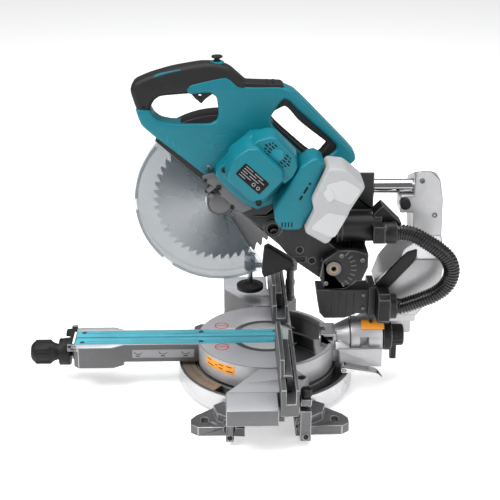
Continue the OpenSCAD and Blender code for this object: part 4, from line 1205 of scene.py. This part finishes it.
# ---- column, slide and dust outlet ----
def slide_lock():
    """A ribbed knob that presses on the upper pole."""
    y, z = 228, 316
    knob = lathe([(0, 2), (8.6, 2), (8.8, 1), (8.8, -12), (6, -13.6), (3.8, -14), (3.8, -19), (0, -19)],
                 (-8, y, z), (1, 0, 0), 40)
    ribs = [slab((-20, y + 7.4, z - 1), (-6.6, y + 8.95, z + 1), 0.3, 36 * i, (0, y, z)) for i in range(10)]
    make([knob, *ribs], "black plastic", "slide_lock_ribbed", "slide_lock", "slide_lock_knob")


def duct_trims():
    edge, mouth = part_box("lower_duct")[1].x / MM, 28
    ribs = [slab((mouth - 0.6, 96 + 12 * i, 134), (mouth + 0.8, 98 + 12 * i, 174), 0.4) for i in range(5)]
    ribs += [slab((edge - 8, 170, z), (edge + 0.2, 176, z + 2), 0.3) for z in (146, 166)]
    screws = [screw_head((mouth, 160, z), 3, 1.8) for z in (170, 146)]
    make(ribs, "duct plastic", "duct_ribs", "tilt_arm")
    make(screws, "dark steel", "duct_screws", "tilt_arm")


class SAW_OT_slide_details(bpy.types.Operator):
    """Adds the column's dark rib and bolts, the slide lock and the duct's trims"""
    bl_idname = "saw.slide_details"
    bl_label = "Column and slide"

    def execute(self, context):
        band = plate([soften([(178, 169), (190, 169), (246, 236), (246, 250), (228, 244), (178, 184)], 0.12,
                             1)],
                     20.2, 24.6, 1, 2)
        make(band, "black plastic", "column_dark_rib", "tilt_arm")
        side = [screw_head((-22.8, *at), 4.4, 3) for at in ((256, 352), (280, 292), (256, 276))]
        make(side, "dark steel", "column_bolts", "tilt_arm")
        slide_lock()
        duct_trims()
        return {"FINISHED"}


# ---- knobs and levers ----
def mitre_knob():
    low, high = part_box("mitre_knob")
    front, z, count = low.y / MM, (low.z + high.z) / 2 / MM, 8
    knob = lathe([(0, 0.6), (8, 0.2), (12, 1), (16.6, 4.4), (18.8, 9), (19.4, 14), (19.4, 34), (15.2, 41),
                  (13.8, 46),
                  (13.8, 50), (22.4, 49), (22.8, 51), (22.8, 66), (21.6, 68), (7.4, 68), (7.4, 20), (0, 20)],
                 (0, front, z), (0, 1, 0), 72)
    lobes = [turn_about(slab((-4, front + 8, z + 15), (4, front + 35, z + 21.2), 1.8, segments=3),
                        360 / count * i, (0, 0, z), "Y") for i in range(count)]
    make([knob, *lobes], "black rubber", "mitre_knob_grip", "mitre_grip", "mitre_knob")


def wing_knobs():
    for side, sign in (("left", -1), ("right", 1)):
        low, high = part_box("wing_knob_" + side)
        x, y = (low.x + high.x) / 2 / MM, (low.y + high.y) / 2 / MM
        top, base = high.z / MM, low.z / MM
        knob = lathe([(0, top - 2.4), (3.6, top - 2.2), (4.4, top - 0.8), (6.6, top - 0.2), (8.4, top - 1.4),
                      (8.6, top - 4), (8.2, top - 13), (7, top - 15.4), (3.4, top - 15.5), (3.4, base), (0,
                                                                base)],
                     (x, y, 0), (0, 0, 1), 48)
        ribs = [turn_about(slab((x + 7.6, y - 0.8, top - 12), (x + 8.9, y + 0.8, top - 3), 0.35),
                           30 * i, (x, y, 0), "Z") for i in range(12)]
        make([knob, *ribs], "black plastic", "wing_knob_ribbed_" + side, "wing_screw_" + side,
             "wing_knob_" + side, slot="black_rubber")


def bevel_lock_knob():
    rounded("bevel_lock_knob", "bevel_lock", "black_plastic", ("black plastic", "dark edge"), 1.6, 3)
    z, count = TABLE_TOP, 14
    ribs = [turn_about(slab((16.6, 214.5, z - 1.2), (18.6, 232, z + 1.2), 0.5), 360 / count * i, (0, 0, z),
                       "Y")
            for i in range(count)]
    make(ribs, "black plastic", "bevel_lock_ribs", "bevel_lock")


def trigger_piece():
    trigger = plate([soften([(-122, 518), (-120, 510), (-112, 501), (-104, 494), (-98, 501), (-90, 507),
                             (-82, 512),
                             (-82, 520), (-122, 520)], 0.14, 1)], -1, 17, 1.4, 3)
    for at, radius in (((-106, 506), 3.5), ((-86, 516), 2.1)):
        cut(trigger, [rod((-30, *at), (40, *at), radius, 0, 24)])
    smooth(trigger, 35)
    make(trigger, "black plastic", "trigger_moulded", "trigger_lever", "trigger")


class SAW_OT_knobs(bpy.types.Operator):
    """Models the mitre knob, the wing knobs and the bevel lock"""
    bl_idname = "saw.knobs"
    bl_label = "Knobs"

    def execute(self, context):
        mitre_knob()
        wing_knobs()
        bevel_lock_knob()
        trigger_piece()
        return {"FINISHED"}


# ---- base, vise and small trims ----
def vise_trims():
    low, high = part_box("vise_arm")
    x = (low.x + high.x) / 2 / MM
    ring = lathe([(7.1, 0), (12, 0), (12.4, 0.6), (12.4, 3.4), (12, 4), (7.1, 4), (7.1, 0)],
                 (x, 50, high.z / MM - 4.1), (0, 0, 1), 48)
    make(ring, "bronze", "vise_ring", "vise_slider")
    low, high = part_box("vise_screw")
    y, top = (low.y + high.y) / 2 / MM, high.z / MM
    ribs = [turn_about(slab((x + 8.8, y - 1, top - 10), (x + 9.95, y + 1, top - 1), 0.3),
                       36 * i, (x, y, 0), "Z") for i in range(10)]
    make(ribs, "black rubber", "vise_screw_ribs", "vise_spindle")


def bevel_scale():
    """The pale marks of the bevel scale on the hub's cone."""
    z, marks = TABLE_TOP, []
    for degrees in range(-48, 49, 4):
        length = 7 if degrees % 12 == 0 else 4
        bar = slab((-0.3, 176 - length, z + 33.02), (0.3, 176, z + 33.3), 0)
        marks.append(turn_about(bar, degrees, (0, 0, z), "Y"))
    make(marks, "pale mark", "bevel_scale_marks", "tilt_arm")


class SAW_OT_base_details(bpy.types.Operator):
    """Adds the base's rod sleeve rings and rod ends, the bevel pointer's screw, the vise's trims and the bevel
    scale's marks
    """
    bl_idname = "saw.base_details"
    bl_label = "Base and vise details"

    def execute(self, context):
        dark, caps = [], {-1: [], 1: []}
        for s in (-1, 1):
            for y in (-64, 54):
                caps[s].append(rod((s * 218.6, y, 16), (s * 219.6, y, 16), 4.6, 0.3, 24))
                dark.append(lathe([(5.4, 0), (8.6, 0), (9.2, 0.8), (9.2, 2), (5.4, 2), (5.4, 0)],
                                  (s * 191, y, 16), (s, 0, 0), 32))
        make(dark, "black plastic", "rod_sleeve_rings", "base")
        for s, side in ((-1, "left"), (1, "right")):
            make(caps[s], "black plastic", "rod_caps_" + side, "wing_frame_" + side)
        low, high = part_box("bevel_pointer")
        screw = screw_head((high.x / MM - 10, 176, 116), 3.4, 2.2, (0.56, 0, 0.83))
        make(screw, "dark steel", "pointer_screw", "tilt_arm")
        vise_trims()
        bevel_scale()
        return {"FINISHED"}


STEPS = (
    SAW_OT_finishes, SAW_OT_castings, SAW_OT_table_details, SAW_OT_housing, SAW_OT_grip, SAW_OT_motor,
    SAW_OT_battery, SAW_OT_cutting_unit, SAW_OT_hinge, SAW_OT_slide_details, SAW_OT_knobs,
    SAW_OT_base_details, SAW_OT_hose, SAW_OT_stage,
)


class SAW_PT_panel(bpy.types.Panel):
    """Lists the saw's pieces in the sidebar"""
    bl_idname = "SAW_PT_panel"
    bl_label = "Mitre saw"
    bl_space_type = "VIEW_3D"
    bl_region_type = "UI"
    bl_category = "Mitre saw"

    def draw(self, context):
        for group in (context.scene.saw_sizes, context.scene.saw_colours):
            for name in group.__annotations__:
                self.layout.prop(group, name)
        for step in STEPS:
            self.layout.operator(step.bl_idname)


CLASSES = (SawSizes, SawColours, *STEPS, SAW_PT_panel)


def register():
    for cls in CLASSES:
        bpy.utils.register_class(cls)
    bpy.types.Scene.saw_sizes = bpy.props.PointerProperty(type=SawSizes)
    bpy.types.Scene.saw_colours = bpy.props.PointerProperty(type=SawColours)


def unregister():
    del bpy.types.Scene.saw_colours
    del bpy.types.Scene.saw_sizes
    for cls in reversed(CLASSES):
        bpy.utils.unregister_class(cls)


def main():
    register()
    for step in STEPS:
        group, call = step.bl_idname.split(".")
        getattr(getattr(bpy.ops, group), call)()


if __name__ == "__main__":
    main()
